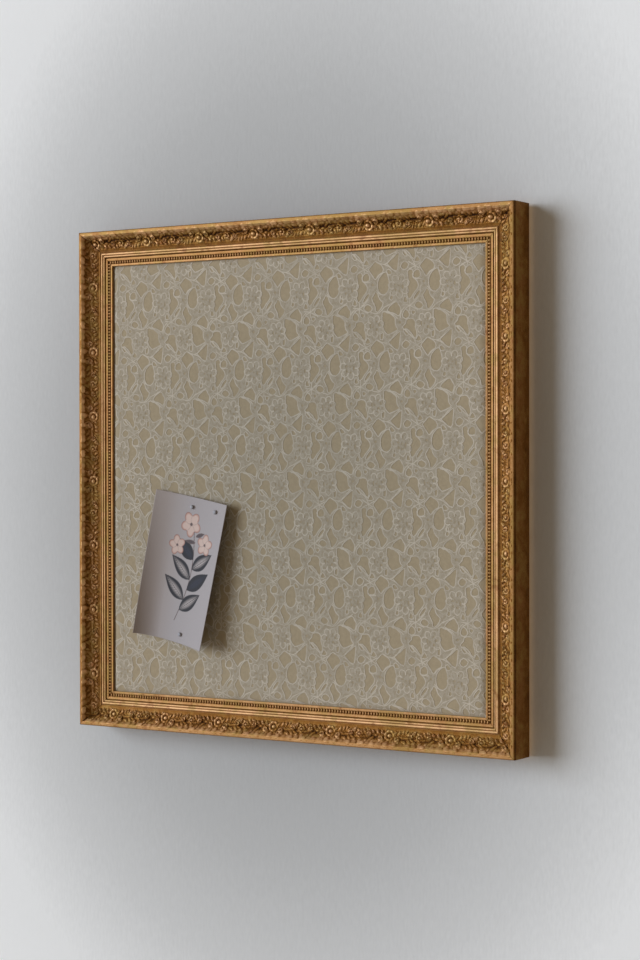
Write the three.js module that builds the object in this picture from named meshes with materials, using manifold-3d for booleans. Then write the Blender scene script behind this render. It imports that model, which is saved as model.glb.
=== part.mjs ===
// Square pin board: a gilt moulded frame round a padded, lace-covered panel that takes pins.
// The panel lies in the frame's rebate behind a lip and is held from behind by turn buttons.
// One curled card is pinned to the lace. The board hangs from a sawtooth hanger on the top rail.
// Millimetres. +X is right and +Z is up as seen from the front, +Y points into the wall.
// The origin is the nail seat of the hanger, in the plane of the frame's back.

import * as THREE from 'three';
import { mergeVertices } from 'three/addons/utils/BufferGeometryUtils.js';
import Module from 'manifold-3d';

const wasm = await Module();
wasm.setup();

// Moulding: widths run from the outer edge inwards, falls and depths run back from the front
const SIDE = 500;
const EDGE_ROUND = 1.5;
const EDGE_FILLET = 4.4;
const FILLET_FALL = 1.2;
const COVE_WIDTH = 16;
const COVE_FALL = 9.4;
const QUIRK_WIDTH = 0.8;
const QUIRK_DEPTH = 0.5;
const REED_WIDTH = 2.5;
const REED_RISE = 1;
const REED_STEP = 0.6;
const GROOVE_WIDTH = 0.9;
const GROOVE_DEPTH = 1.3;
const FLAT_WIDTH = 2.1;
const BEAD_SEAT_WIDTH = 3.8;
const BEAD_SEAT_DEPTH = 1;
const LIP_WIDTH = 2;
const LIP_FALL = 11;
const LIP_THICKNESS = 2;
const REBATE_WIDTH = 6.5;
const MITRE_GAP = 0.2;

// Pressed ornament in the cove and bead strip in its seat
const GLUE_LINE = 0.3;
const ORNAMENT_BASE = 0.7;
const ORNAMENT_RISE = 2;
const ORNAMENT_PITCH = 32.7;
const ORNAMENT_EDGE_ANGLE = 12;
const BEAD_RADIUS = 1.3;

// Panel, from the pin face backwards
const LACE = 0.6;
const COTTON = 0.5;
const WADDING_EDGE = 1.2;
const CROWN = 2.1;
const CROWN_RUN = 6;
const CROWN_CORNER = 6;
const CORE = 8.3;
const CORE_CORNER = 2;
const BACKING = 3;
const LACE_TURN_IN = 26;
const COTTON_TURN_IN = 34;
const LAYER_GAP = 0.15;
const LIP_GAP = 0.3;
const PANEL_CLEARANCE = 0.8;
const BACK_RECESS = 0.1;

// Turn buttons and their screws
const BUTTON_WIDTH = 10;
const BUTTON_REACH = 19;
const BUTTON_THICKNESS = 1.2;
const BUTTON_INSET = 21.5;
const BUTTON_FROM_CORNER = 120;
const BUTTON_GAP = 0.3;
const SCREW_RADIUS = 1.5;
const SCREW_LENGTH = 12;
const SCREW_HEAD_RADIUS = 3.2;
const SCREW_HEAD = 1.5;
const SCREW_SLOT = 0.8;
const SCREW_SLOT_DEPTH = 0.7;
const BORE_CLEARANCE = 0.3;

// Corner V nails
const V_NAIL_INSET = 12;
const V_NAIL_SPREAD = 5.2;
const V_NAIL_HALF_ANGLE = 50;
const V_NAIL_THICKNESS = 0.6;
const V_NAIL_LENGTH = 10;
const V_NAIL_SINK = 0.5;

// Sawtooth hanger, its nails and the wall bumpers
const HANGER_LENGTH = 46;
const HANGER_HEIGHT = 12;
const HANGER_THICKNESS = 0.8;
const HANGER_RAISE = 1.8;
const HANGER_FOOT = 9;
const HANGER_SLOPE = 3;
const HANGER_INSET = 8;
const TOOTH_WIDTH = 3;
const TOOTH_DEPTH = 1.6;
const TOOTH_PAIRS = 3;
const NAIL_RADIUS = 0.6;
const NAIL_LENGTH = 10;
const NAIL_HEAD_RADIUS = 1.8;
const NAIL_HEAD = 0.6;
const BUMPER_RADIUS = 5;
const BUMPER_HEIGHT = 4;
const BUMPER_FACE_RADIUS = 3;
const BUMPER_INSET = 14;
const BUMPER_FROM_CORNER = 50;

// Card: it touches the lace along one line and curls away from it on both sides
const CARD_WIDTH = 92;
const CARD_HEIGHT = 145;
const CARD_THICKNESS = 0.5;
const CARD_TILT = 9.6;
const CARD_CONTACT = 27.6;
const CARD_LEFT_MARGIN = 73;
const CARD_BOTTOM_MARGIN = 129;
const CARD_GAP = 0.3;
const CARD_LEAN = 3.5;
const CURL_LEFT = { top: 2.5, bottom: 10 };
const CURL_RIGHT = { top: 7.5, bottom: 14.5 };

// Pins: places are measured on the flat card from its left and top edges
const PIN_PLACES = [[46, 10], [77.5, 9.5], [55.5, 136]];
const PIN_HEAD_RADIUS = 2;
const PIN_HEAD_HEIGHT = 1.7;
const PIN_HEAD_RIM = 0.4;
const PIN_NEEDLE_RADIUS = 0.5;
const PIN_NEEDLE_LENGTH = 13.5;
const PIN_POINT = 2;
const PIN_SEAT = 0.5;
const PIN_POINT_COVER = 0.8;
const PIN_SOCKET = 1;
const PIN_SOCKET_CLEARANCE = 0.1;

// Facets and tolerances
const CURVE_STEPS = 6;
const ROUND_STEPS = 12;
const BORE_STEPS = 10;
const WELD = 1e-4;
const CUT_MARGIN = 1;

// Derived widths and depths: y is 0 at the frame's back and negative towards the front
const HALF = SIDE / 2;
const COVE_END = EDGE_FILLET + COVE_WIDTH;
const COVE_FOOT = FILLET_FALL + COVE_FALL;
const FIRST_REED = COVE_END + QUIRK_WIDTH;
const SECOND_REED = FIRST_REED + REED_WIDTH;
const GROOVE = SECOND_REED + REED_WIDTH;
const FLAT = GROOVE + GROOVE_WIDTH;
const BEAD_SEAT = FLAT + FLAT_WIDTH;
const LIP = BEAD_SEAT + BEAD_SEAT_WIDTH;
const RAIL_WIDTH = LIP + LIP_WIDTH;
const REBATE_WALL = RAIL_WIDTH - REBATE_WIDTH;
const SIGHT_HALF = HALF - RAIL_WIDTH;
const COTTON_INNER = LAYER_GAP;
const COTTON_OUTER = COTTON_INNER + COTTON;
const LACE_INNER = COTTON_OUTER + LAYER_GAP;
const LACE_OUTER = LACE_INNER + LACE;
const BACKING_HALF = HALF - REBATE_WALL - PANEL_CLEARANCE;
const CORE_HALF = BACKING_HALF - LACE_OUTER;
const BACKING_FRONT = -BACK_RECESS - BACKING;
const CORE_BACK = BACKING_FRONT - LAYER_GAP - LACE_OUTER;
const CORE_FRONT = CORE_BACK - CORE;
const WADDING_BACK = CORE_FRONT - LAYER_GAP;
const WADDING_FRONT = WADDING_BACK - WADDING_EDGE;
const LIP_UNDERSIDE = WADDING_FRONT - LACE_OUTER - LIP_GAP;
const DEPTH = LIP_FALL + LIP_THICKNESS - LIP_UNDERSIDE;
const LACE_FACE = WADDING_FRONT - LACE_OUTER - CROWN;
const HANGER_TOP = HALF - HANGER_INSET;
const NAIL_SEAT = HANGER_TOP - HANGER_HEIGHT + TOOTH_DEPTH;

// Finishes
function finish(color, roughness, metalness) {
  return () => new THREE.MeshStandardMaterial({ color, roughness, metalness });
}
const gilt = finish(0xb98a55, 0.42, 0.55);
const giltDark = finish(0x8a5f30, 0.5, 0.5);
const giltBead = finish(0xa87c4a, 0.45, 0.55);
const laceCloth = finish(0xb9ad9b, 0.95, 0);
const cottonCloth = finish(0xa09372, 0.95, 0);
const waddingFill = finish(0xe6e2da, 1, 0);
const softboard = finish(0xb09468, 0.95, 0);
const hardboard = finish(0x6e4f34, 0.8, 0);
const steel = finish(0x9b9c9e, 0.38, 0.9);
const brassPlate = finish(0xb59a5a, 0.4, 0.9);
const felt = finish(0x4a423a, 0.95, 0);
const cardStock = finish(0xd5d2d6, 0.7, 0);
const pinSteel = finish(0x8c8d92, 0.3, 0.9);

// Closed mesh helpers
function closed(geometry) {
  const bare = geometry.clone();
  for (const name of Object.keys(bare.attributes)) {
    if (name !== 'position') bare.deleteAttribute(name);
  }
  const merged = mergeVertices(bare, WELD);
  const position = merged.attributes.position;
  const index = merged.index.array;
  const kept = [];
  const corner = [new THREE.Vector3(), new THREE.Vector3(), new THREE.Vector3()];
  let volume = 0;
  for (let i = 0; i < index.length; i += 3) {
    const face = [index[i], index[i + 1], index[i + 2]];
    if (new Set(face).size < 3) continue;
    kept.push(face);
    face.forEach((vertex, j) => corner[j].fromBufferAttribute(position, vertex));
    volume += corner[0].dot(corner[1].cross(corner[2]));
  }
  if (volume < 0) kept.forEach((face) => face.reverse());
  const result = new THREE.BufferGeometry();
  result.setAttribute('position', position);
  result.setIndex(kept.flat());
  return result;
}

function solid(geometry) {
  const whole = closed(geometry);
  return new wasm.Manifold(new wasm.Mesh({
    numProp: 3,
    vertProperties: new Float32Array(whole.attributes.position.array),
    triVerts: new Uint32Array(whole.index.array),
  }));
}

function cut(geometry, tools) {
  const result = tools.reduce((body, tool) => body.subtract(solid(tool)), solid(geometry)).getMesh();
  const shape = new THREE.BufferGeometry();
  shape.setAttribute('position', new THREE.BufferAttribute(result.vertProperties, 3));
  shape.setIndex(new THREE.BufferAttribute(result.triVerts, 1));
  return shape;
}

function addMesh(parent, name, geometry, material) {
  const whole = closed(geometry);
  whole.computeVertexNormals();
  const mesh = new THREE.Mesh(whole, material());
  mesh.name = name;
  parent.add(mesh);
  return mesh;
}

// A plate drawn in the plane of the wall, from y = near to y = far
function plate(shape, near, far) {
  const geometry = new THREE.ExtrudeGeometry(shape, {
    depth: far - near,
    bevelEnabled: false,
    curveSegments: CURVE_STEPS,
  });
  geometry.rotateX(Math.PI / 2);
  return geometry.translate(0, far, 0);
}

// A round bar along Y at a place in the plane of the wall
function bar(radius, near, far, x, z) {
  const geometry = new THREE.CylinderGeometry(radius, radius, far - near, BORE_STEPS);
  return geometry.translate(x, (near + far) / 2, z);
}

// A turned piece about the Y axis, given by its radius and y at each step of its profile
function turned(profile) {
  return new THREE.LatheGeometry(profile.map(([radius, y]) => new THREE.Vector2(radius, y)), ROUND_STEPS);
}

// Rings of equal point count joined into a closed loft with flat ends
function loft(rings) {
  const count = rings[0].length;
  const faces = [];
  for (let i = 1; i < rings.length; i += 1) {
    for (let j = 0; j < count; j += 1) {
      const next = (j + 1) % count;
      const low = (i - 1) * count;
      const high = i * count;
      faces.push(low + j, high + j, high + next, low + j, high + next, low + next);
    }
  }
  const last = (rings.length - 1) * count;
  fillRing(rings[0]).forEach((face) => faces.push(...face));
  fillRing(rings[rings.length - 1]).forEach((face) => faces.push(...face.reverse().map((i) => last + i)));
  const geometry = new THREE.BufferGeometry();
  geometry.setAttribute('position', new THREE.Float32BufferAttribute(rings.flat(2), 3));
  geometry.setIndex(faces);
  return geometry;
}

// Triangles that fill a flat ring and run the same way round, worked out in the plane where it looks largest
function fillRing(ring) {
  const { area, triangulateShape } = THREE.ShapeUtils;
  const planes = [[0, 1], [1, 2], [2, 0]];
  const drawn = planes.map(([u, v]) => ring.map((point) => new THREE.Vector2(point[u], point[v])));
  const plane = drawn.reduce((best, next) => (Math.abs(area(next)) > Math.abs(area(best)) ? next : best));
  const faces = triangulateShape(plane, []);
  const sameWay = area(plane) * area(faces[0].map((i) => plane[i])) > 0;
  return sameWay ? faces : faces.map((face) => [...face].reverse());
}

// Moulding section: t runs inwards from the outer edge, d runs back from the front plane
function mouldingShape() {
  const shape = new THREE.Shape();
  const grooveFloor = LIP_FALL + GROOVE_DEPTH;
  const seatFloor = LIP_FALL + BEAD_SEAT_DEPTH;
  const crest = COVE_FOOT + REED_STEP - REED_RISE;
  const halfReed = REED_WIDTH / 2;
  shape.moveTo(0, DEPTH);
  shape.lineTo(0, EDGE_ROUND);
  shape.absarc(EDGE_ROUND, EDGE_ROUND, EDGE_ROUND, Math.PI, 1.5 * Math.PI, false);
  shape.lineTo(EDGE_FILLET - FILLET_FALL / 2, 0);
  shape.lineTo(EDGE_FILLET, FILLET_FALL);
  shape.absellipse(COVE_END, FILLET_FALL, COVE_WIDTH, COVE_FALL, Math.PI, Math.PI / 2, true);
  shape.lineTo(COVE_END + QUIRK_WIDTH / 2, COVE_FOOT + QUIRK_DEPTH);
  shape.lineTo(FIRST_REED, COVE_FOOT);
  shape.absellipse(FIRST_REED + halfReed, COVE_FOOT, halfReed, REED_RISE, Math.PI, 2 * Math.PI, false);
  shape.lineTo(SECOND_REED, COVE_FOOT + REED_STEP);
  shape.absellipse(
    SECOND_REED + halfReed, COVE_FOOT + REED_STEP, halfReed, REED_RISE, Math.PI, 1.5 * Math.PI, false,
  );
  shape.absellipse(
    SECOND_REED + halfReed, grooveFloor, halfReed, grooveFloor - crest, 1.5 * Math.PI, 2 * Math.PI, false,
  );
  shape.lineTo(FLAT, grooveFloor);
  shape.lineTo(FLAT, LIP_FALL);
  shape.lineTo(BEAD_SEAT, LIP_FALL);
  shape.lineTo(BEAD_SEAT, seatFloor);
  shape.lineTo(LIP, seatFloor);
  shape.lineTo(LIP, LIP_FALL);
  shape.lineTo(RAIL_WIDTH, LIP_FALL);
  shape.lineTo(RAIL_WIDTH, LIP_FALL + LIP_THICKNESS);
  shape.lineTo(REBATE_WALL, LIP_FALL + LIP_THICKNESS);
  shape.lineTo(REBATE_WALL, DEPTH);
  return shape;
}

// A section run along the top of the frame, with both ends mitred
function mitred(shape) {
  const geometry = new THREE.ExtrudeGeometry(shape, {
    depth: 1,
    bevelEnabled: false,
    curveSegments: CURVE_STEPS,
  });
  const position = geometry.attributes.position;
  for (let i = 0; i < position.count; i += 1) {
    const t = position.getX(i);
    const d = position.getY(i);
    const end = position.getZ(i) > 0.5 ? 1 : -1;
    position.setXYZ(i, end * (HALF - t - MITRE_GAP), d - DEPTH, HALF - t);
  }
  return geometry;
}

// Half-round strip under the row of beads
function beadShape() {
  const shape = new THREE.Shape();
  const middle = BEAD_SEAT + BEAD_SEAT_WIDTH / 2;
  const base = LIP_FALL + BEAD_SEAT_DEPTH - GLUE_LINE;
  shape.moveTo(middle - BEAD_RADIUS, base);
  shape.absarc(middle, base, BEAD_RADIUS, Math.PI, 2 * Math.PI, false);
  return shape;
}

// Pressed ornament: a strip that follows the cove and swells at each rose and each leaf cluster
function ornamentStrip() {
  const across = 4;
  const along = 4 * Math.round((2 * (HALF - EDGE_FILLET)) / ORNAMENT_PITCH);
  const edge = THREE.MathUtils.degToRad(ORNAMENT_EDGE_ANGLE);
  const rings = [];
  const spot = (share, lift, end) => {
    const angle = edge + (Math.PI / 2 - 1.5 * edge) * share;
    const t = COVE_END - (COVE_WIDTH - GLUE_LINE - lift) * Math.cos(angle);
    const d = FILLET_FALL + (COVE_FALL - GLUE_LINE - lift) * Math.sin(angle);
    return [end * (HALF - t - MITRE_GAP), d - DEPTH, HALF - t];
  };
  for (let i = 0; i <= along; i += 1) {
    const end = (2 * i) / along - 1;
    const swell = 0.5 + 0.5 * Math.cos((2 * Math.PI * end * (HALF - EDGE_FILLET)) / ORNAMENT_PITCH);
    const ring = [];
    for (let j = 0; j <= across; j += 1) ring.push(spot(j / across, 0, end));
    for (let j = across; j >= 0; j -= 1) {
      const rise = Math.sin(Math.PI * (j / across)) * (0.35 + 0.65 * swell);
      ring.push(spot(j / across, ORNAMENT_BASE + ORNAMENT_RISE * rise, end));
    }
    rings.push(ring);
  }
  return loft(rings);
}

// Chevron of a V nail about the mitre line, widened by a clearance
function vNail(clearance, near, far) {
  const slope = 1 / Math.tan(THREE.MathUtils.degToRad(V_NAIL_HALF_ANGLE));
  const sine = Math.sin(THREE.MathUtils.degToRad(V_NAIL_HALF_ANGLE));
  const wide = V_NAIL_SPREAD + clearance;
  const low = -clearance / sine;
  const high = (V_NAIL_THICKNESS + clearance) / sine;
  const shape = new THREE.Shape();
  shape.moveTo(0, low);
  shape.lineTo(wide, wide * slope + low);
  shape.lineTo(wide, wide * slope + high);
  shape.lineTo(0, high);
  shape.lineTo(-wide, wide * slope + high);
  shape.lineTo(-wide, wide * slope + low);
  const geometry = plate(shape, near, far);
  geometry.rotateY(Math.PI / 4);
  return geometry.translate(HALF - V_NAIL_INSET, 0, HALF - V_NAIL_INSET);
}

// Places along one rail where a pair of pieces sits
function pairPlaces(fromCorner) {
  return [-1, 1].map((hand) => hand * (HALF - fromCorner));
}

const board = new THREE.Group();
const sides = ['top', 'right', 'bottom', 'left'].map((name, turn) => {
  const group = new THREE.Group();
  group.rotation.y = (turn * Math.PI) / 2;
  board.add(group);
  return { name, turn, group };
});
const buttonZ = HALF - BUTTON_INSET;
const buttonFar = BUTTON_GAP + BUTTON_THICKNESS;
const screwSeat = buttonFar + BUTTON_GAP;
const hangerNailX = HANGER_LENGTH / 2 - HANGER_FOOT / 2;
const hangerNailZ = HANGER_TOP - HANGER_HEIGHT / 2;

// Frame rails with their ornament, beads and corner nails
function railTools(name) {
  const tools = pairPlaces(BUTTON_FROM_CORNER).map((x) => (
    bar(SCREW_RADIUS + BORE_CLEARANCE, screwSeat - SCREW_LENGTH - BORE_CLEARANCE, CUT_MARGIN, x, buttonZ)
  ));
  const slotEnd = -V_NAIL_SINK - V_NAIL_LENGTH - BORE_CLEARANCE;
  const slot = vNail(BORE_CLEARANCE, slotEnd, CUT_MARGIN);
  tools.push(slot, slot.clone().rotateY(-Math.PI / 2));
  if (name === 'top') {
    const floor = BUTTON_GAP + HANGER_THICKNESS - NAIL_LENGTH - BORE_CLEARANCE;
    for (const x of [-hangerNailX, hangerNailX]) {
      tools.push(bar(NAIL_RADIUS + BORE_CLEARANCE, floor, CUT_MARGIN, x, hangerNailZ));
    }
  }
  return tools;
}
for (const { name, group } of sides) {
  addMesh(group, `rail_${name}`, cut(mitred(mouldingShape()), railTools(name)), gilt);
  addMesh(group, `ornament_${name}`, ornamentStrip(), giltDark);
  addMesh(group, `beading_${name}`, mitred(beadShape()), giltBead);
  addMesh(group, `corner_nail_${name}`, vNail(0, -V_NAIL_SINK - V_NAIL_LENGTH, -V_NAIL_SINK), steel);
}

// Turn buttons and screws, two to a rail
function buttonShape() {
  const radius = BUTTON_WIDTH / 2;
  const shape = new THREE.Shape();
  shape.absarc(0, 0, radius, 0, Math.PI, false);
  shape.absarc(0, radius - BUTTON_REACH, radius, Math.PI, 2 * Math.PI, false);
  const hole = new THREE.Path();
  hole.absarc(0, 0, SCREW_RADIUS + BORE_CLEARANCE, 0, 2 * Math.PI, true);
  shape.holes.push(hole);
  return shape;
}
function screw() {
  const top = screwSeat + SCREW_HEAD;
  const point = screwSeat - SCREW_LENGTH;
  const profile = [
    [0, point],
    [SCREW_RADIUS, point + 2 * SCREW_RADIUS],
    [SCREW_RADIUS, screwSeat],
    [SCREW_HEAD_RADIUS, screwSeat],
    [SCREW_HEAD_RADIUS, top - SCREW_HEAD / 2],
    [SCREW_HEAD_RADIUS * 0.7, top],
    [0, top],
  ];
  const slot = new THREE.BoxGeometry(3 * SCREW_HEAD_RADIUS, 2 * SCREW_SLOT_DEPTH, SCREW_SLOT);
  return cut(turned(profile), [slot.translate(0, top, 0)]);
}
for (const { turn, group } of sides) {
  pairPlaces(BUTTON_FROM_CORNER).forEach((x, hand) => {
    const number = 2 * turn + hand + 1;
    const button = addMesh(group, `turn_button_${number}`, plate(buttonShape(), BUTTON_GAP, buttonFar), brassPlate);
    button.position.set(x, 0, buttonZ);
    const fixing = addMesh(group, `button_screw_${number}`, screw(), steel);
    fixing.position.set(x, 0, buttonZ);
  });
}

// Sawtooth hanger with its two nails on the top rail
function hanger() {
  const half = HANGER_LENGTH / 2;
  const foot = half - HANGER_FOOT;
  const bridge = foot - HANGER_SLOPE;
  const line = [
    [-half, BUTTON_GAP],
    [-foot, BUTTON_GAP],
    [-bridge, BUTTON_GAP + HANGER_RAISE],
    [bridge, BUTTON_GAP + HANGER_RAISE],
    [foot, BUTTON_GAP],
    [half, BUTTON_GAP],
  ];
  const upper = line.map(([x, y]) => [x, y + HANGER_THICKNESS]).reverse();
  const shape = new THREE.Shape([...line, ...upper].map(([x, y]) => new THREE.Vector2(x, y)));
  const strip = new THREE.ExtrudeGeometry(shape, { depth: HANGER_HEIGHT, bevelEnabled: false });
  strip.translate(0, 0, HANGER_TOP - HANGER_HEIGHT);
  const reach = BUTTON_GAP + HANGER_RAISE + HANGER_THICKNESS + CUT_MARGIN;
  const tools = [];
  for (let i = -TOOTH_PAIRS; i <= TOOTH_PAIRS; i += 1) {
    const notch = new THREE.Shape();
    notch.moveTo(-TOOTH_WIDTH / 2, -TOOTH_DEPTH);
    notch.lineTo(TOOTH_WIDTH / 2, -TOOTH_DEPTH);
    notch.lineTo(0, TOOTH_DEPTH);
    tools.push(plate(notch, 0, reach).translate(i * TOOTH_WIDTH, 0, HANGER_TOP - HANGER_HEIGHT));
  }
  for (const x of [-hangerNailX, hangerNailX]) {
    tools.push(bar(NAIL_RADIUS + BORE_CLEARANCE, 0, reach, x, hangerNailZ));
  }
  return cut(strip, tools);
}
function nail() {
  const seat = 2 * BUTTON_GAP + HANGER_THICKNESS;
  return turned([
    [0, BUTTON_GAP + HANGER_THICKNESS - NAIL_LENGTH],
    [NAIL_RADIUS, BUTTON_GAP + HANGER_THICKNESS - NAIL_LENGTH + 2 * NAIL_RADIUS],
    [NAIL_RADIUS, seat],
    [NAIL_HEAD_RADIUS, seat],
    [NAIL_HEAD_RADIUS, seat + NAIL_HEAD / 2],
    [NAIL_HEAD_RADIUS * 0.8, seat + NAIL_HEAD],
    [0, seat + NAIL_HEAD],
  ]);
}
addMesh(board, 'sawtooth_hanger', hanger(), steel);
['left', 'right'].forEach((name, hand) => {
  const mesh = addMesh(board, `hanger_nail_${name}`, nail(), steel);
  mesh.position.set([-hangerNailX, hangerNailX][hand], 0, hangerNailZ);
});

// Bumpers stuck on the bottom rail keep the frame off the wall
function bumper() {
  return turned([
    [0, 0],
    [BUMPER_RADIUS, 0],
    [BUMPER_RADIUS, BUMPER_HEIGHT / 2],
    [(BUMPER_RADIUS + BUMPER_FACE_RADIUS) / 2, BUMPER_HEIGHT * 0.85],
    [BUMPER_FACE_RADIUS, BUMPER_HEIGHT],
    [0, BUMPER_HEIGHT],
  ]);
}
['left', 'right'].forEach((name, hand) => {
  const mesh = addMesh(board, `wall_bumper_${name}`, bumper(), felt);
  mesh.position.set(pairPlaces(BUMPER_FROM_CORNER)[hand], 0, BUMPER_INSET - HALF);
});

// Padded panel: every layer is the same crowned slab, one inside the other
function squareRing(half, corner, y) {
  const ring = [];
  for (let side = 0; side < 4; side += 1) {
    for (let i = 0; i <= 3; i += 1) {
      const angle = (side + i / 3) * (Math.PI / 2);
      const centre = new THREE.Vector2(half - corner, half - corner);
      centre.rotateAround(new THREE.Vector2(), (side * Math.PI) / 2);
      ring.push([centre.x + corner * Math.cos(angle), y, centre.y + corner * Math.sin(angle)]);
    }
  }
  return ring;
}
function crownedSlab(offset, back, front) {
  const rings = [
    squareRing(CORE_HALF + offset, CORE_CORNER + offset, back),
    squareRing(CORE_HALF + offset, CORE_CORNER + offset, front),
  ];
  const steps = 4;
  for (let i = 0; i <= steps; i += 1) {
    const share = i / steps;
    const rise = CROWN * (1 - (1 - share) ** 2);
    rings.push(squareRing(SIGHT_HALF - CROWN_RUN * share, CROWN_CORNER, front - rise));
  }
  return loft(rings);
}
function flatSlab(half, corner, back, front) {
  return loft([squareRing(half, corner, back), squareRing(half, corner, front)]);
}
function cover(inner, outer, turnIn, tools) {
  const whole = crownedSlab(outer, CORE_BACK + outer, WADDING_FRONT - outer);
  const inside = crownedSlab(inner, CORE_BACK + inner, WADDING_FRONT - inner);
  const mouth = flatSlab(CORE_HALF - turnIn, CORE_CORNER, CORE_BACK + outer + CUT_MARGIN, CORE_BACK - CUT_MARGIN);
  return cut(whole, [inside, mouth, ...tools]);
}

// Card surface: u across from the left edge and v down from the top edge, both on the flat card
function cardPoint(u, v) {
  const down = v / CARD_HEIGHT;
  const curl = (side) => side.top + (side.bottom - side.top) * down;
  const reach = (side) => (side === CURL_LEFT ? CARD_CONTACT : CARD_WIDTH - CARD_CONTACT);
  const side = u < CARD_CONTACT ? CURL_LEFT : CURL_RIGHT;
  const distance = Math.abs(u - CARD_CONTACT);
  const steps = 24;
  let across = 0;
  for (let i = 0; i < steps; i += 1) {
    const at = ((i + 0.5) / steps) * distance;
    const slope = (2 * curl(side) * at) / reach(side) ** 2;
    across += Math.sqrt(1 - slope ** 2) * (distance / steps);
  }
  const height = CARD_GAP + CARD_THICKNESS + CARD_LEAN * down + curl(side) * (distance / reach(side)) ** 2;
  const place = new THREE.Vector2(Math.sign(u - CARD_CONTACT) * across, CARD_HEIGHT / 2 - v);
  place.rotateAround(new THREE.Vector2(), -THREE.MathUtils.degToRad(CARD_TILT));
  return new THREE.Vector3(
    place.x - SIGHT_HALF + CARD_LEFT_MARGIN,
    LACE_FACE - height,
    place.y - SIGHT_HALF + CARD_BOTTOM_MARGIN,
  );
}
function cardSheet() {
  const acrossSteps = 14;
  const downSteps = 6;
  const rings = [];
  for (let i = 0; i <= downSteps; i += 1) {
    const v = (i / downSteps) * CARD_HEIGHT;
    const front = [];
    for (let j = 0; j <= acrossSteps; j += 1) front.push(cardPoint((j / acrossSteps) * CARD_WIDTH, v).toArray());
    const back = front.map(([x, y, z]) => [x, y + CARD_THICKNESS, z]).reverse();
    rings.push([...front, ...back]);
  }
  return loft(rings);
}
// A pin goes in until its head meets the card or its point is about to come through the core
const pins = PIN_PLACES.map(([u, v]) => {
  const hole = cardPoint(u, v);
  const deepest = CORE_BACK - PIN_POINT_COVER - PIN_NEEDLE_LENGTH;
  return new THREE.Vector3(hole.x, Math.min(hole.y - PIN_SEAT, deepest), hole.z);
});
function pinHoles(depth) {
  return pins.map((pin) => (
    bar(PIN_NEEDLE_RADIUS + BORE_CLEARANCE, LACE_FACE - CUT_MARGIN, depth, pin.x, pin.z)
  ));
}
const throughLayers = CORE_FRONT + CUT_MARGIN;
const coreHoles = pins.map((pin) => {
  const floor = pin.y + PIN_NEEDLE_LENGTH + BORE_CLEARANCE;
  return bar(PIN_NEEDLE_RADIUS + BORE_CLEARANCE, LACE_FACE, floor, pin.x, pin.z);
});
addMesh(board, 'lace_cover', cover(LACE_INNER, LACE_OUTER, LACE_TURN_IN, pinHoles(throughLayers)), laceCloth);
addMesh(board, 'cotton_cover', cover(COTTON_INNER, COTTON_OUTER, COTTON_TURN_IN, pinHoles(throughLayers)), cottonCloth);
addMesh(board, 'wadding', cut(crownedSlab(0, WADDING_BACK, WADDING_FRONT), pinHoles(throughLayers)), waddingFill);
addMesh(board, 'softboard_core', cut(flatSlab(CORE_HALF, CORE_CORNER, CORE_BACK, CORE_FRONT), coreHoles), softboard);
addMesh(board, 'backing_board', flatSlab(BACKING_HALF, CORE_CORNER, -BACK_RECESS, BACKING_FRONT), hardboard);

// Pinned card and its pins
const cardHoles = pins.map((pin) => (
  bar(PIN_NEEDLE_RADIUS + BORE_CLEARANCE, pin.y - CUT_MARGIN, LACE_FACE, pin.x, pin.z)
));
addMesh(board, 'card', cut(cardSheet(), cardHoles), cardStock);
// A low dome on a short rim, pressed onto the needle
function pinHead() {
  const profile = [[0, -PIN_HEAD_HEIGHT]];
  const dome = PIN_HEAD_HEIGHT - PIN_HEAD_RIM;
  for (let i = 1; i < CURVE_STEPS; i += 1) {
    const angle = ((i / (CURVE_STEPS - 1)) * Math.PI) / 2;
    profile.push([PIN_HEAD_RADIUS * Math.sin(angle), -PIN_HEAD_RIM - dome * Math.cos(angle)]);
  }
  const socket = PIN_NEEDLE_RADIUS + PIN_SOCKET_CLEARANCE;
  return cut(turned([...profile, [PIN_HEAD_RADIUS, 0], [0, 0]]), [bar(socket, -PIN_SOCKET, CUT_MARGIN, 0, 0)]);
}
function pinNeedle() {
  const start = PIN_SOCKET_CLEARANCE - PIN_SOCKET;
  const profile = [
    [0, start],
    [PIN_NEEDLE_RADIUS, start],
    [PIN_NEEDLE_RADIUS, PIN_NEEDLE_LENGTH - PIN_POINT],
    [0, PIN_NEEDLE_LENGTH],
  ];
  return new THREE.LatheGeometry(profile.map(([radius, y]) => new THREE.Vector2(radius, y)), BORE_STEPS);
}
pins.forEach((pin, i) => {
  for (const [name, geometry] of [['pin_head', pinHead()], ['pin_needle', pinNeedle()]]) {
    const mesh = addMesh(board, `${name}_${i + 1}`, geometry, pinSteel);
    mesh.position.copy(pin);
  }
});

board.position.set(0, 0, -NAIL_SEAT);
const pinBoard = new THREE.Group();
pinBoard.add(board);
export default pinBoard;
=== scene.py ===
# Pin board: a gilt moulded frame round a padded, lace-covered panel with one card pinned to it.
# Metres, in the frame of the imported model: +X right, +Y into the wall, +Z up.

from math import asin, atan2, cos, hypot, pi, radians, sin, sqrt

import bmesh
import bpy
import numpy as np
from mathutils import Euler, Matrix, Vector


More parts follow.
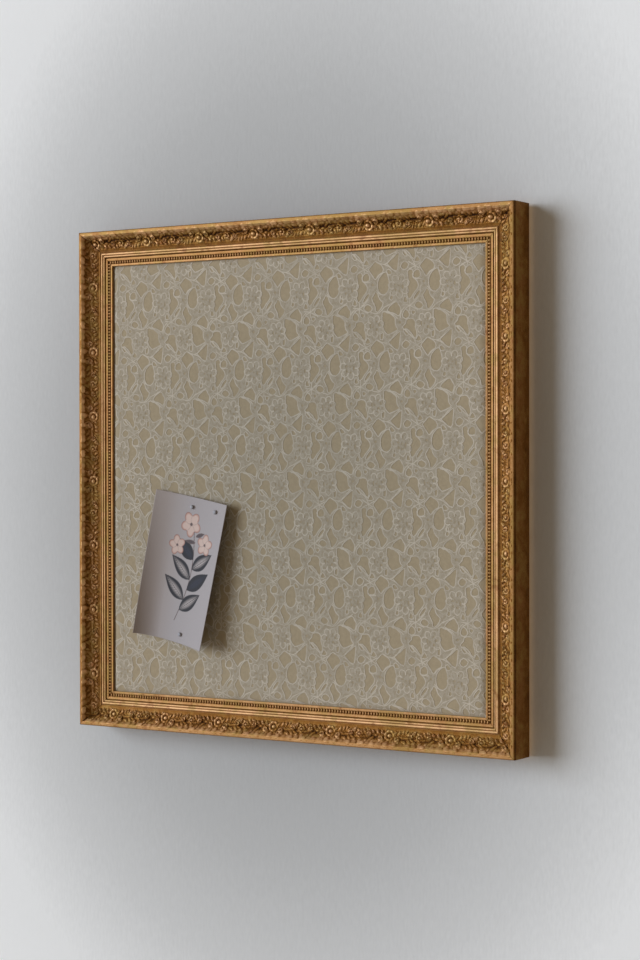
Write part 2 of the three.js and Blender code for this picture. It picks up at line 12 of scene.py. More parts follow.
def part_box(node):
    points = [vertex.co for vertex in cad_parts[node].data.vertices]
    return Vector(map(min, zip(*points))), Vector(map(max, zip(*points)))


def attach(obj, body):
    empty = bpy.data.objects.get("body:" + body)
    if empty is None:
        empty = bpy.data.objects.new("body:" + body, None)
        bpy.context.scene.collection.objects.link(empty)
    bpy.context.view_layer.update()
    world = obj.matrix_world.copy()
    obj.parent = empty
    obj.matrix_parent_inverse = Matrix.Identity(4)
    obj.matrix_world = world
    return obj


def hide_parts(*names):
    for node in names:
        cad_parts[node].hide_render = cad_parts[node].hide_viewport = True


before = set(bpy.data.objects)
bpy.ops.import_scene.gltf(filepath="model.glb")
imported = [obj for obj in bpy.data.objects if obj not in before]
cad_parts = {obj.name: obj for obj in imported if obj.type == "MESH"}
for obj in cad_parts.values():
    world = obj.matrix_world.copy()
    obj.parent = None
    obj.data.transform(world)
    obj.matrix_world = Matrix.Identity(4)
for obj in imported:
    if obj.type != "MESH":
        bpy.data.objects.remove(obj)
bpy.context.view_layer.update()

# Wall, light and camera
# The board hangs flat on a rolled, pale grey wall and is seen from its right at eye level.
# Window light falls from the left and a little above, and the room fills in the rest. The wall is
# only seen from the room and stops no light, so that a lamp beyond it shows the board's back.
MM = 0.001
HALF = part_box("rail_right")[1].x
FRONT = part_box("rail_top")[0].y
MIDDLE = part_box("rail_top")[1].z - HALF
FACE_CENTRE = Vector((0, FRONT, MIDDLE))
CAMERA_FROM_FRONT = Vector((1174.6, -1725.0, 16.8)) * MM
CAMERA_TURN = (89.53, 0.078, 33.26)
CAMERA_LENS = 82.02
WALL_GAP = 0.3 * MM
WALL_REACH = 3.0
FLOOR_DROP = 1.2
PALE_ROOM = 0.46
ROOM_FILL = 0.22
ROOM_WARMTH = (1.0, 0.74, 0.43, 1)
WINDOW_LEFT = 52
WINDOW_UP = 8
WINDOW_SPREAD = 38
WINDOW_POWER = 2.79
WINDOW_TINT = (0.9, 1.0, 1.12)
BEYOND_LEFT = 25
BEYOND_UP = 12
BEYOND_POWER = 1.9
LAMP_AWAY = 2
# Ellipse of painted light and shade on the wall: its middle across, its half width and its half height, in
# mm.
PAINTED_LIGHT_SPOT = (-16.3, 362.5, 463)


class Shade:
    """A value, colour or vector of a material. Arithmetic on values adds Math nodes."""

    def __init__(self, tree, socket=None):
        self.tree = tree
        self.socket = socket

    def node(self, kind, settings=None, inputs=None, output=0):
        made = self.tree.nodes.new("ShaderNode" + kind)
        for name, value in (settings or {}).items():
            if name == "stops":
                set_stops(made.color_ramp.elements, value)
            else:
                setattr(made, name, value)
        for name, value in (inputs or {}).items():
            if isinstance(value, Shade):
                self.tree.links.new(value.socket, made.inputs[name])
            else:
                made.inputs[name].default_value = value
        return Shade(self.tree, made.outputs[output])

    def math(self, operation, *values):
        return self.node("Math", {"operation": operation}, dict(enumerate(values)))

    def __add__(self, other):
        return self.math("ADD", self, other)

    def __sub__(self, other):
        return self.math("SUBTRACT", self, other)

    def __rsub__(self, other):
        return self.math("SUBTRACT", other, self)

    def __mul__(self, other):
        return self.math("MULTIPLY", self, other)

    __radd__ = __add__
    __rmul__ = __mul__

    def larger(self, other):
        return self.math("MAXIMUM", self, other)

    def smooth(self, low, high):
        """Rises smoothly from 0 at low to 1 at high."""
        return self.node("MapRange", {"interpolation_type": "SMOOTHSTEP"}, {0: self, 1: low, 2: high})

    def ramp(self, stops):
        return self.node("ValToRGB", {"stops": stops}, {0: self})

    def mix(self, low, high):
        """The colour low where this value is 0 and high where it is 1."""
        return self.node("Mix", {"data_type": "RGBA"}, {0: self, 6: low, 7: high}, 2)

    def noise(self, scale, detail=3.0, stretch=(1, 1, 1)):
        """Noise on Object coordinates, with scale in features to the metre."""
        place = self.node("TexCoord", output="Object")
        place = self.node("Mapping", {}, {"Vector": place, "Scale": stretch})
        return self.node("TexNoise", {}, {"Vector": place, "Scale": scale, "Detail": detail})

    def attribute(self, name, output="Fac"):
        return self.node("Attribute", {"attribute_name": name}, output=output)

    def bump(self, distance, strength=1.0):
        return self.node("Bump", {}, {"Height": self, "Distance": distance, "Strength": strength})


def set_stops(elements, stops):
    while len(elements) < len(stops):
        elements.new(1.0)
    for element, (place, colour) in zip(elements, stops):
        element.position = place
        element.color = colour if isinstance(colour, tuple) else (colour, colour, colour, 1)


def tint(red, green, blue):
    """A colour written as it looks on a screen, 0 to 255, made linear."""
    channels = [value / 255 for value in (red, green, blue)]
    linear = [c / 12.92 if c <= 0.04045 else ((c + 0.055) / 1.055) ** 2.4 for c in channels]
    return (*linear, 1.0)


def new_material(name):
    material = bpy.data.materials.new(name)
    material.use_nodes = True
    return material, Shade(material.node_tree)


def finish(material, **sockets):
    """Sets or links sockets of the material's shader, named as Base_Color for Base Color."""
    shader = material.node_tree.nodes["Principled BSDF"]
    for name, value in sockets.items():
        socket = shader.inputs[name.replace("_", " ")]
        if isinstance(value, Shade):
            material.node_tree.links.new(value.socket, socket)
        else:
            socket.default_value = value


def seen(shade):
    """1 for what the camera sees straight, in a mirror or through glass, and 0 for other light."""
    kinds = ("Camera", "Glossy", "Transmission")
    straight, mirrored, through = (shade.node("LightPath", output=f"Is {kind} Ray") for kind in kinds)
    return straight.larger(mirrored).larger(through)


def mesh_object(name, bm, *materials):
    mesh = bpy.data.meshes.new(name)
    bm.to_mesh(mesh)
    bm.free()
    for material in materials:
        mesh.materials.append(material)
    made = bpy.data.objects.new(name, mesh)
    bpy.context.scene.collection.objects.link(made)
    return made


camera_data = bpy.data.cameras.new("camera")
camera_data.lens = CAMERA_LENS
camera = bpy.data.objects.new("camera", camera_data)
camera.location = FACE_CENTRE + CAMERA_FROM_FRONT
camera.rotation_euler = Euler([radians(angle) for angle in CAMERA_TURN])
bpy.context.scene.collection.objects.link(camera)
bpy.context.scene.camera = camera
bpy.context.scene.view_settings.view_transform = "Standard"

wall_paint, paint = new_material("wall_paint")
# Painted light and shade: the wall's colour is darker round the board and paler towards the far corners.
around = paint.node("TexCoord", output="Object")
middle, wide, high = (size * MM for size in PAINTED_LIGHT_SPOT)
around = paint.node("Mapping", {}, {
    "Vector": around, "Scale": (1 / wide, 0, 1 / high), "Location": (-middle / wide, 0, -MIDDLE / high),
})
around = paint.node("VectorMath", {"operation": "LENGTH"}, {0: around}, "Value")
rolled = paint.noise(420, 3, (1, 1, 0.3))
finish(
    wall_paint,
    Base_Color=(around * 0.5 + (rolled - 0.5) * 0.06).ramp([
        (0.25, tint(174, 174, 174)), (0.4, tint(193, 193, 193)), (0.525, tint(216, 216, 216)),
        (0.65, tint(245, 245, 245)), (0.8, tint(253, 253, 253)),
    ]),
    Roughness=0.85,
    Normal=rolled.bump(0.3 * MM, 0.5),
)
painted = Shade(paint.tree, wall_paint.node_tree.nodes["Principled BSDF"].outputs[0])
behind = paint.node("NewGeometry", output="Backfacing")
clear = paint.node("BsdfTransparent")
looked_at = seen(paint)
one_sided = paint.node("MixShader", {}, {0: looked_at * (1 - behind), 1: clear, 2: painted})
paint.tree.links.new(one_sided.socket, paint.tree.nodes["Material Output"].inputs["Surface"])

floor_paint, paint = new_material("floor_paint")
finish(floor_paint, Base_Color=paint.noise(3).mix(tint(214, 214, 213), tint(222, 222, 220)), Roughness=0.8)

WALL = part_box("wall_bumper_left")[1].y + WALL_GAP
bm = bmesh.new()
upright = Matrix.Translation((0, WALL, MIDDLE + WALL_REACH - FLOOR_DROP)) @ Matrix.Rotation(pi / 2, 4, "X")
bmesh.ops.create_grid(bm, x_segments=1, y_segments=1, size=WALL_REACH, matrix=upright)
wall = mesh_object("wall", bm, wall_paint)
bm = bmesh.new()
below = Matrix.Translation((0, 0, MIDDLE - FLOOR_DROP))
bmesh.ops.create_grid(bm, x_segments=1, y_segments=1, size=2 * WALL_REACH, matrix=below)
floor = mesh_object("floor", bm, floor_paint)

world = bpy.data.worlds.new("room")
world.use_nodes = True
bpy.context.scene.world = world
room = Shade(world.node_tree)
looked_at = seen(room)
level = looked_at * (PALE_ROOM - ROOM_FILL) + ROOM_FILL
background = world.node_tree.nodes["Background"]
world.node_tree.links.new(looked_at.mix(ROOM_WARMTH, (1, 1, 1, 1)).socket, background.inputs["Color"])
world.node_tree.links.new(level.socket, background.inputs["Strength"])

for name, left, up, spread, power, colour in (
    ("window", WINDOW_LEFT, WINDOW_UP, WINDOW_SPREAD, WINDOW_POWER, WINDOW_TINT),
    ("lamp_beyond", 180 - BEYOND_LEFT, BEYOND_UP, WINDOW_SPREAD, BEYOND_POWER, (1, 1, 1)),
):
    lamp_data = bpy.data.lights.new(name, "SUN")
    lamp_data.angle = radians(spread)
    lamp_data.energy = power
    lamp_data.color = colour
    lamp = bpy.data.objects.new(name, lamp_data)
    toward = Euler((radians(-up), 0, radians(-left))).to_matrix() @ Vector((0, -1, 0))
    lamp.location = FACE_CENTRE + LAMP_AWAY * toward
    lamp.rotation_euler = toward.to_track_quat("Z", "Y").to_euler()
    bpy.context.scene.collection.objects.link(lamp)

# Gilt rails
# Four lengths of moulded softwood, mitred at the corners and gilded over red bole, with a dark
# wash left in the grooves and the crests rubbed bright. The back and the rebate stay bare wood.
SIDES = ("top", "right", "bottom", "left")
DEPTH = -FRONT / MM
MITRE_GAP = 0.2
EDGE_ROUND = 1.5
EDGE_FILLET = 4.4
FILLET_FALL = 1.2
COVE_WIDTH = 16
COVE_FALL = 9.4
QUIRK_WIDTH = 0.8
QUIRK_DEPTH = 0.5
REED_WIDTH = 2.5
REED_RISE = 1
REED_STEP = 0.6
GROOVE_WIDTH = 0.9
GROOVE_DEPTH = 1.3
FLAT_WIDTH = 2.1
BEAD_SEAT_WIDTH = 3.8
BEAD_SEAT_DEPTH = 1
LIP_WIDTH = 2
LIP_FALL = 11
LIP_THICKNESS = 2
LIP_EASE = 0.3
LIP_ROUND = 0.7
REBATE_WIDTH = 6.5
REBATE_SLACK = 0.1
COVE_END = EDGE_FILLET + COVE_WIDTH
COVE_FOOT = FILLET_FALL + COVE_FALL
FIRST_REED = COVE_END + QUIRK_WIDTH
SECOND_REED = FIRST_REED + REED_WIDTH
GROOVE = SECOND_REED + REED_WIDTH
FLAT = GROOVE + GROOVE_WIDTH
BEAD_SEAT = FLAT + FLAT_WIDTH
LIP = BEAD_SEAT + BEAD_SEAT_WIDTH
RAIL_WIDTH = LIP + LIP_WIDTH
REBATE_WALL = RAIL_WIDTH - REBATE_WIDTH
UMBER = tint(46, 20, 2)
BROWN_GOLD = tint(130, 84, 30)
OLD_GOLD = tint(178, 130, 80)
YELLOW_GOLD = tint(158, 130, 66)
RUBBED_GOLD = tint(224, 177, 128)
RED_BOLE = tint(122, 60, 30)
# Painted light and shade for each rail: how much lighter or darker its gilding is made, and how much
# darker its edge fillet, by how the light falls on that side.
RAIL_PAINTED_LIGHT = {"top": 0, "right": 0.01, "bottom": 0.07, "left": -0.1}
FILLET_PAINTED_SHADE = {"top": -0.08, "right": -0.05, "bottom": -0.02, "left": -0.16}
PINE = tint(190, 152, 104)
PINE_GRAIN = tint(150, 110, 68)


def arc(centre, radii, start, end, steps):
    angles = [start + (end - start) * i / steps for i in range(steps + 1)]
    return [(centre[0] + radii[0] * cos(a), centre[1] + radii[1] * sin(a)) for a in angles]


def moulding_section():
    """Points of the section: how far in from the outer edge, and how far back from the front."""
    groove_floor = LIP_FALL + GROOVE_DEPTH
    seat_floor = LIP_FALL + BEAD_SEAT_DEPTH
    crest = COVE_FOOT + REED_STEP - REED_RISE
    half_reed = REED_WIDTH / 2
    second = SECOND_REED + half_reed
    return [
        (0, DEPTH),
        *arc((EDGE_ROUND, EDGE_ROUND), (EDGE_ROUND, EDGE_ROUND), pi, 1.5 * pi, 6),
        (EDGE_FILLET - FILLET_FALL / 2, 0),
        *arc((COVE_END, FILLET_FALL), (COVE_WIDTH, COVE_FALL), pi, pi / 2, 16),
        (COVE_END + QUIRK_WIDTH / 2, COVE_FOOT + QUIRK_DEPTH),
        *arc((FIRST_REED + half_reed, COVE_FOOT), (half_reed, REED_RISE), pi, 2 * pi, 12),
        *arc((second, COVE_FOOT + REED_STEP), (half_reed, REED_RISE), pi, 1.5 * pi, 6),
        *arc((second, groove_floor), (half_reed, groove_floor - crest), 1.5 * pi, 2 * pi, 8)[1:],
        (FLAT, groove_floor),
        (FLAT, LIP_FALL),
        (BEAD_SEAT, LIP_FALL),
        (BEAD_SEAT, seat_floor),
        (LIP, seat_floor),
        (LIP, LIP_FALL + LIP_EASE),
        *arc((RAIL_WIDTH - LIP_ROUND, LIP_FALL + LIP_ROUND), (LIP_ROUND,) * 2, 1.5 * pi, 2 * pi, 5),
        (RAIL_WIDTH, LIP_FALL + LIP_THICKNESS),
        (REBATE_WALL, LIP_FALL + LIP_THICKNESS),
        (REBATE_WALL, DEPTH),
    ]


def on_top_rail(along, across, back):
    """A place on the top rail, in metres, from millimetres along, in from the edge and back."""
    return Vector((along * MM, FRONT + back * MM, HALF - across * MM))


def turn_to_side(bm, number):
    placed = Matrix.Translation((0, 0, MIDDLE)) @ Matrix.Rotation(number * pi / 2, 4, "Y")
    bmesh.ops.transform(bm, matrix=placed, verts=bm.verts)


def closed_edges(bm, verts):
    return [bm.edges.new(pair) for pair in zip(verts, verts[1:] + verts[:1])]


def only_verts(geometry):
    return [item for item in geometry if isinstance(item, bmesh.types.BMVert)]


def close_up(bm):
    """Fills open ends and points every face outward."""
    bmesh.ops.holes_fill(bm, edges=[edge for edge in bm.edges if edge.is_boundary])
    bmesh.ops.recalc_face_normals(bm, faces=bm.faces)


def smooth_faces(bm):
    for face in bm.faces:
        face.smooth = True


def soften(bm, angle=35):
    """Smooth shading that breaks at edges sharper than the angle."""
    smooth_faces(bm)
    for edge in bm.edges:
        edge.smooth = edge.calc_face_angle(0) < radians(angle)


def gilding(name, height_of, mottle=0.25):
    """Worn gilding. Height runs from 0 in a hollow, where the wash stays, to 1 on a rubbed crest."""
    material, leaf = new_material(name)
    patchy = leaf.noise(55, 4) * 0.6 + leaf.noise(160, 3) * 0.4
    grainy = leaf.noise(700, 3)
    height = height_of(leaf) + (patchy - 0.5) * mottle + (grainy - 0.5) * 0.34
    gold = height.ramp([
        (0.0, UMBER), (0.3, BROWN_GOLD), (0.62, OLD_GOLD), (1.0, RUBBED_GOLD),
    ])
    rubbed = leaf.noise(130, 5).smooth(0.56, 0.7) * height.smooth(0.35, 0.7) * 0.45
    drifts = leaf.noise(24, 4) * 0.5 + leaf.noise(110, 3) * 0.5
    yellow = drifts.smooth(0.45, 0.58) * height.smooth(0.2, 0.5) * 0.5
    finish(
        material,
        Base_Color=rubbed.mix(yellow.mix(gold, YELLOW_GOLD), RED_BOLE),
        Metallic=0.45,
        Specular_IOR_Level=0.08,
        Roughness=0.48 + grainy * 0.2 - height * 0.06,
        Normal=(grainy * 0.5 + patchy).bump(0.12 * MM, 0.5),
    )
    return material


def rail_height(leaf):
    share = (leaf.attribute("across") + DEPTH) * (1 / (DEPTH + RAIL_WIDTH))
    levels = [
        (-DEPTH, 0.2), (-0.5 * DEPTH, 0.38), (-4.5, 0.36), (-2.6, 0.12), (0.1, 0.15),
        (EDGE_ROUND / 2, 0.66), (EDGE_FILLET - 0.9, 0.58), (EDGE_FILLET + 0.3, 0.45),
        (COVE_END - 1.5, 0.42), (COVE_END + QUIRK_WIDTH / 2, 0.46), (FIRST_REED + 0.4, 0.76),
        (FIRST_REED + REED_WIDTH / 2, 0.97), (SECOND_REED - 0.3, 0.8), (SECOND_REED, 0.56),
        (SECOND_REED + 0.4, 0.8), (SECOND_REED + REED_WIDTH / 2, 0.97), (GROOVE - 0.2, 0.5),
        (GROOVE + 0.1, 0.12), (FLAT - 0.05, 0.12), (FLAT + 0.1, 0.66), (BEAD_SEAT - 0.1, 0.54),
        (BEAD_SEAT + 0.2, 0.52), (BEAD_SEAT + 0.8, 0.1), (LIP - 0.8, 0.1), (LIP - 0.2, 0.52),
        (LIP + 0.1, 0.7), (RAIL_WIDTH - 0.1, 0.7),
    ]
    gilt = share.ramp([((across + DEPTH) / (DEPTH + RAIL_WIDTH), level) for across, level in levels])
    # The added value is the rail's painted light and shade.
    return gilt + leaf.attribute("wear")


gilt_rail = gilding("gilt_rail", rail_height, mottle=0.6)
bare_woods = []
for name, stretch in (("level_wood", (1, 14, 14)), ("upright_wood", (14, 14, 1))):
    bare_wood, wood = new_material(name)
    grain = wood.noise(40, 4, stretch).smooth(0.35, 0.7)
    finish(
        bare_wood,
        Base_Color=grain.mix(PINE, PINE_GRAIN),
        Roughness=0.75,
        Normal=grain.bump(0.1 * MM, 0.5),
    )
    bare_woods.append(bare_wood)

for number, side in enumerate(SIDES):
    bm = bmesh.new()
    across_layer = bm.verts.layers.float.new("across")
    side_light_layer = bm.verts.layers.float.new("wear")
    ring = []
    for across, back in moulding_section():
        corner = bm.verts.new(on_top_rail(HALF / MM - across - MITRE_GAP, across, back))
        corner[across_layer] = across if across else -back
        # Painted light and shade of this rail and its fillet, stored for the gilding.
        corner[side_light_layer] = RAIL_PAINTED_LIGHT[side] + (FILLET_PAINTED_SHADE[side] if 0 < across < EDGE_FILLET else 0)
        ring.append(corner)
    run = bmesh.ops.extrude_edge_only(bm, edges=closed_edges(bm, ring))["geom"]
    bmesh.ops.scale(bm, vec=(-1, 1, 1), verts=only_verts(run))
    close_up(bm)
    soften(bm)
    rebate = FRONT + (LIP_FALL + LIP_THICKNESS - REBATE_SLACK) * MM
    for face in bm.faces:
        inside = min(v.co.y for v in face.verts) > rebate
        face.material_index = int(face.normal.y > 0.5 or inside)
    turn_to_side(bm, number)
    rail = mesh_object(f"gilt_rail_{side}", bm, gilt_rail, bare_woods[number % 2])
    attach(rail, "frame")
    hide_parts(f"rail_{side}")

# Pressed ornament
# Strips of pressed composition glued into the cove before gilding: roses and buds among dense
# acanthus leaves. The tips of the outer leaves lap over the edge fillet.
ORNAMENT_PERIOD = 65.4
ORNAMENT_ROSE_AT = {"top": 27, "right": 1, "bottom": 16, "left": -2}
ORNAMENT_STEPS = (980, 46)
ORNAMENT_SEED = 5
ORNAMENT_LIFT = 0.35
ORNAMENT_RISE = 2.3
ORNAMENT_SKIN = 0.3
ORNAMENT_MIDDLE = 10
PATH_STEPS = 240
PATH_SMOOTHING = 6
COVE_EASE = 2.4
FLAT_FOOT = (7.4, 1.2)
FLAT_FOOT_SHARE = 0.85
FOOT_BAND = (6.6, 0.8)
GROUND_RISE = 0.24
LEAF_ROWS = ((-7.4, -1.5), (-1.8, -1.15), (0.6, -0.3), (2.9, 0.9))
LEAVES_IN_ROW = (15, 22, 22, 22)
LEAF_SCATTER = (0.1, 0.9)
LEAF_DRIFT = 0.7
LEAF_SWAY = 0.5
LEAF_LENGTHS = (4.8, 8.0)
LEAF_WIDTHS = (1.9, 2.8)
LEAF_RISES = (0.7, 1.5)
HOLLOW = 0.5
HOLLOW_EDGE = (0, 2.2)
SCROLLS = (((8.9, -1.4), 2.7, -1), ((22.6, 2.4), 2.5, 1))
SCROLL_WINDINGS = (0.6, 1.0)
SCROLL_CLEAR = 0.5
ROSE_AND_BUD = ((0, 2.0, 1.12), (ORNAMENT_PERIOD / 2, 1.6, 0.72))
ROSE_PETALS = 7
ROSE_TURN = 0.3
ROSE_HEART = (2.3, 2.0)
ROSE_CLEAR = (4.7, 0.6)
PETAL_REACH = 3.6
PETAL_SIZE = (1.4, 2.1)
TIPS = 13
TIP_LAP = 1.9
TIP_SINK = 0.08
TIP_RISE = 0.4
TIP_ROOT = -10.8
TIP_BLUNTNESS = 3.4
TIP_SCATTER = 0.4
TIP_LENGTHS = (2.0, 6.8)
TIP_WIDTHS = (2.0, 4.2)
TIP_HEIGHTS = (0.45, 0.8)
# Painted light and shade across the ornament, set for each rail by how the light falls on it: places
# across the cove in mm, and the amount added to the colour at each.
PAINTED_LIGHT_AT = (-10.5, -9, -6.4, -4.8, -2.2, 0, 2, 7, 9)
SIDE_PAINTED_LIGHT = {
    "top": (0.28, 0.46, 0.58, 0.38, -0.06, -0.18, 0.12, 0.1, -0.08),
    "right": (-0.08, -0.3, -0.2, -0.14, 0.0, 0.1, 0.08, -0.03, -0.12),
    "bottom": (0.1, 0.24, 0.45, 0.24, 0.04, -0.08, 0.05, 0.08, 0.0),
    "left": (0.2, 0.2, 0.16, 0.1, 0.2, 0.26, 0.17, 0.08, 0.12),
}


def dome(x, y, long, wide):
    return np.sqrt(np.clip(1 - (x / long) ** 2 - (y / wide) ** 2, 0, None))


def climb(values, start, run):
    """0 up to the start, and 1 from a run beyond it."""
    return np.clip((values - start) / run, 0, 1)


def along_aside(x, y, angle):
    """How far a place lies along a line at an angle through the origin, and to its side."""
    return x * cos(angle) + y * sin(angle), y * cos(angle) - x * sin(angle)


def carved_leaf(x, y, foot, angle, length, width):
    """Height of a pointed leaf with a sunk midrib and ribbed flanks."""
    along, aside = along_aside(x - foot[0], y - foot[1], angle)
    share = climb(along, 0, length)
    half = width / 2 * np.sin(pi * share ** 0.75) + 1e-6
    flank = np.sqrt(np.clip(1 - (aside / half) ** 2, 0, None))
    rib = 1 - 0.5 * np.exp(-(aside / 0.32) ** 2)
    veins = 0.8 + 0.2 * np.cos(2 * pi * (along - 1.1 * np.abs(aside)) / 1.5)
    return flank * rib * veins * (0.5 + 0.5 * np.sin(pi * share))


def carved_rose(x, y):
    """Height of an open rose: a round bud in a cup of overlapping petals, higher on one side."""
    height = 1.05 * dome(x + 0.5, y + 0.3, *ROSE_HEART)
    for k in range(ROSE_PETALS):
        angle = ROSE_TURN + 2 * pi * k / ROSE_PETALS
        along, aside = along_aside(x, y, angle)
        out = along - PETAL_REACH
        cup = 0.75 + 0.25 * np.clip(out / PETAL_SIZE[0], -1, 1)
        top = 0.72 + 0.26 * cos(angle - 0.5)
        height = np.maximum(height, top * dome(out, aside, *PETAL_SIZE) ** 0.6 * cup)
    return height


def carved_scroll(x, y, centre, radius, hand):
    """Height of a ridge that winds in to a small eye."""
    dx, dy = hand * (x - centre[0]), y - centre[1]
    turn = (np.arctan2(dy, dx) / (2 * pi)) % 1
    reach = np.hypot(dx, dy)
    height = 0.8 * dome(dx, dy, 0.26 * radius, 0.26 * radius)
    for winding in SCROLL_WINDINGS:
        ridge = (reach - radius * winding * (0.75 + 0.25 * turn)) / (0.17 * radius)
        height = np.maximum(height, 0.75 * np.sqrt(np.clip(1 - ridge ** 2, 0, None)))
    return height


def ornament_height(along, across):
    """Relief from 0 to 1, in mm along the rail from a rose and across from the cove's middle."""
    chance = np.random.default_rng(ORNAMENT_SEED)
    pebble = 0.5 + 0.25 * np.sin(2.9 * along + 1.3 * across) + 0.25 * np.sin(3.3 * across - 1.7 * along)
    height = GROUND_RISE * pebble

    def beside(place):
        return (along - place + ORNAMENT_PERIOD / 2) % ORNAMENT_PERIOD - ORNAMENT_PERIOD / 2

    for (row, lean), count in zip(LEAF_ROWS, LEAVES_IN_ROW):
        for k in range(count):
            place = ((k + chance.uniform(*LEAF_SCATTER)) / count - 0.5) * ORNAMENT_PERIOD
            foot = (0, row + chance.uniform(-LEAF_DRIFT, LEAF_DRIFT))
            angle = lean + chance.uniform(-LEAF_SWAY, LEAF_SWAY)
            length = chance.uniform(*LEAF_LENGTHS)
            width = chance.uniform(*LEAF_WIDTHS) * max(LEAVES_IN_ROW) / count
            angle = angle if place > 0 else pi - angle
            leaf = carved_leaf(beside(place), across, foot, angle, length, width)
            height = np.maximum(height, chance.uniform(*LEAF_RISES) * leaf)
    height *= np.interp(across, HOLLOW_EDGE, (HOLLOW, 1))
    for centre, radius, hand in SCROLLS:
        for mirror in (1, -1):
            x = mirror * beside(mirror * centre[0]) + centre[0]
            clear = climb(np.hypot(x - centre[0], across - centre[1]), radius, SCROLL_CLEAR)
            height = np.maximum(height * clear, carved_scroll(x, across, centre, radius, hand))
    for place, row, size in ROSE_AND_BUD:
        x, y = beside(place) / size, (across - row) / size
        clear = climb(np.hypot(x, y), *ROSE_CLEAR)
        height = np.maximum(height * clear, carved_rose(x, y))
    for k in range(TIPS):
        x = beside((k + chance.uniform(-TIP_SCATTER, TIP_SCATTER)) / TIPS * ORNAMENT_PERIOD)
        y = np.where(across < TIP_ROOT, TIP_BLUNTNESS * (across - TIP_ROOT), across - TIP_ROOT)
        tip = dome(x, y, chance.uniform(*TIP_WIDTHS), chance.uniform(*TIP_LENGTHS))
        height = np.maximum(height, chance.uniform(*TIP_HEIGHTS) * tip ** 0.55)
    return np.maximum(height, GROUND_RISE * climb(across, *FOOT_BAND))


def along_path(points, count):
    """Even places on a bent line and its smoothed normals, as rows of distance, place and normal."""
    points = np.array(points)
    ends = np.concatenate([[0], np.cumsum(np.hypot(*np.diff(points, axis=0).T))])
    run = np.linspace(0, ends[-1], count)
    place = np.array([np.interp(run, ends, values) for values in points.T])
    width = 2 * PATH_SMOOTHING + 1
    padded = [np.pad(values, PATH_SMOOTHING, "edge") for values in np.gradient(place, axis=1)]
    ahead = np.array([np.convolve(values, np.ones(width) / width, "valid") for values in padded])
    ahead /= np.hypot(*ahead)
    return np.array([run, *place, ahead[1], -ahead[0]])


def second_skin(bm):
    """Adds a copy of all the faces, joined to them by walls round the edge, and gives its verts."""
    return only_verts(bmesh.ops.extrude_face_region(bm, geom=bm.faces[:], use_keep_orig=True)["geom"])


# The ornament's relief attribute also carries its rail's painted light and shade.
gilt_ornament = gilding("gilt_ornament", lambda leaf: leaf.attribute("relief") * 1.13 + 0.01, mottle=0.55)
fillet_end = EDGE_FILLET - FILLET_FALL / 2
cove = arc((COVE_END, FILLET_FALL), (COVE_WIDTH, COVE_FALL), pi, 0.505 * pi, 60)
path = along_path([(fillet_end - TIP_LAP, 0), (fillet_end, 0), *cove], PATH_STEPS)
cove_start = TIP_LAP + hypot(FILLET_FALL / 2, FILLET_FALL)

for number, side in enumerate(SIDES):
    bm = bmesh.new()
    relief_layer = bm.verts.layers.float.new("relief")
    along_steps, across_steps = ORNAMENT_STEPS
    bmesh.ops.create_grid(bm, x_segments=along_steps, y_segments=across_steps, size=1)
    face = list(bm.verts)
    places = np.array([v.co for v in face])
    run = (places[:, 1] + 1) / 2 * path[0, -1]
    inward, back, inward_lift, back_lift = (np.interp(run, path[0], values) for values in path[1:])
    across = run - cove_start - ORNAMENT_MIDDLE
    along = places[:, 0] * (HALF / MM - inward - 2 * MITRE_GAP)
    relief = ornament_height(along - ORNAMENT_ROSE_AT[side], across)
    in_cove = climb(across, TIP_ROOT, COVE_EASE)
    ground = (ORNAMENT_LIFT + TIP_SINK) * in_cove - TIP_SINK
    rise = TIP_RISE + (ORNAMENT_RISE - TIP_RISE) * in_cove
    rise *= 1 - FLAT_FOOT_SHARE * climb(across, *FLAT_FOOT)
    under = second_skin(bm)
    for verts, lift in ((face, ground + rise * relief), (under, ground - ORNAMENT_SKIN)):
        lifted_in = inward + lift * inward_lift
        lifted_back = back + lift * back_lift
        lifted_along = places[:, 0] * (HALF / MM - lifted_in - 2 * MITRE_GAP)
        for vert, *spot in zip(verts, lifted_along, lifted_in, lifted_back):
            vert.co = on_top_rail(*spot)
    # The stored relief also carries the rail's painted light and shade, so the colour follows both.
    for vert, value in zip(face, relief + np.interp(across, PAINTED_LIGHT_AT, SIDE_PAINTED_LIGHT[side])):
        vert[relief_layer] = value
    bmesh.ops.recalc_face_normals(bm, faces=bm.faces)
    soften(bm, 70)
    turn_to_side(bm, number)
    ornament = mesh_object(f"gilt_ornament_{side}", bm, gilt_ornament)
    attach(ornament, "frame")
    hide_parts(f"ornament_{side}")

# Beading
# A turned string of small beads, split lengthwise and glued into its seat beside the sight edge.
# The dark wash stays in the gaps between the beads.
BEAD_PITCH = 3.1
BEAD_RADIUS = 1.32
BEAD_STRETCH = (0.7, 1.0, 1.4, 1.0)
BEAD_STRING = 0.4
BEAD_SINK = 0.02
BEAD_LINE = BEAD_SEAT + BEAD_SEAT_WIDTH / 2
BEAD_BASE = LIP_FALL + BEAD_SEAT_DEPTH


def cut(bm, place, normal, clear=False):
    """Cuts all edges and faces at a plane, and clears what lies beyond it if that is asked."""
    every = bm.verts[:] + bm.edges[:] + bm.faces[:]
    bmesh.ops.bisect_plane(bm, geom=every, plane_co=place, plane_no=normal, clear_outer=clear)


gilt_bead = gilding("gilt_bead", lambda leaf: leaf.attribute("relief"), mottle=0.15)

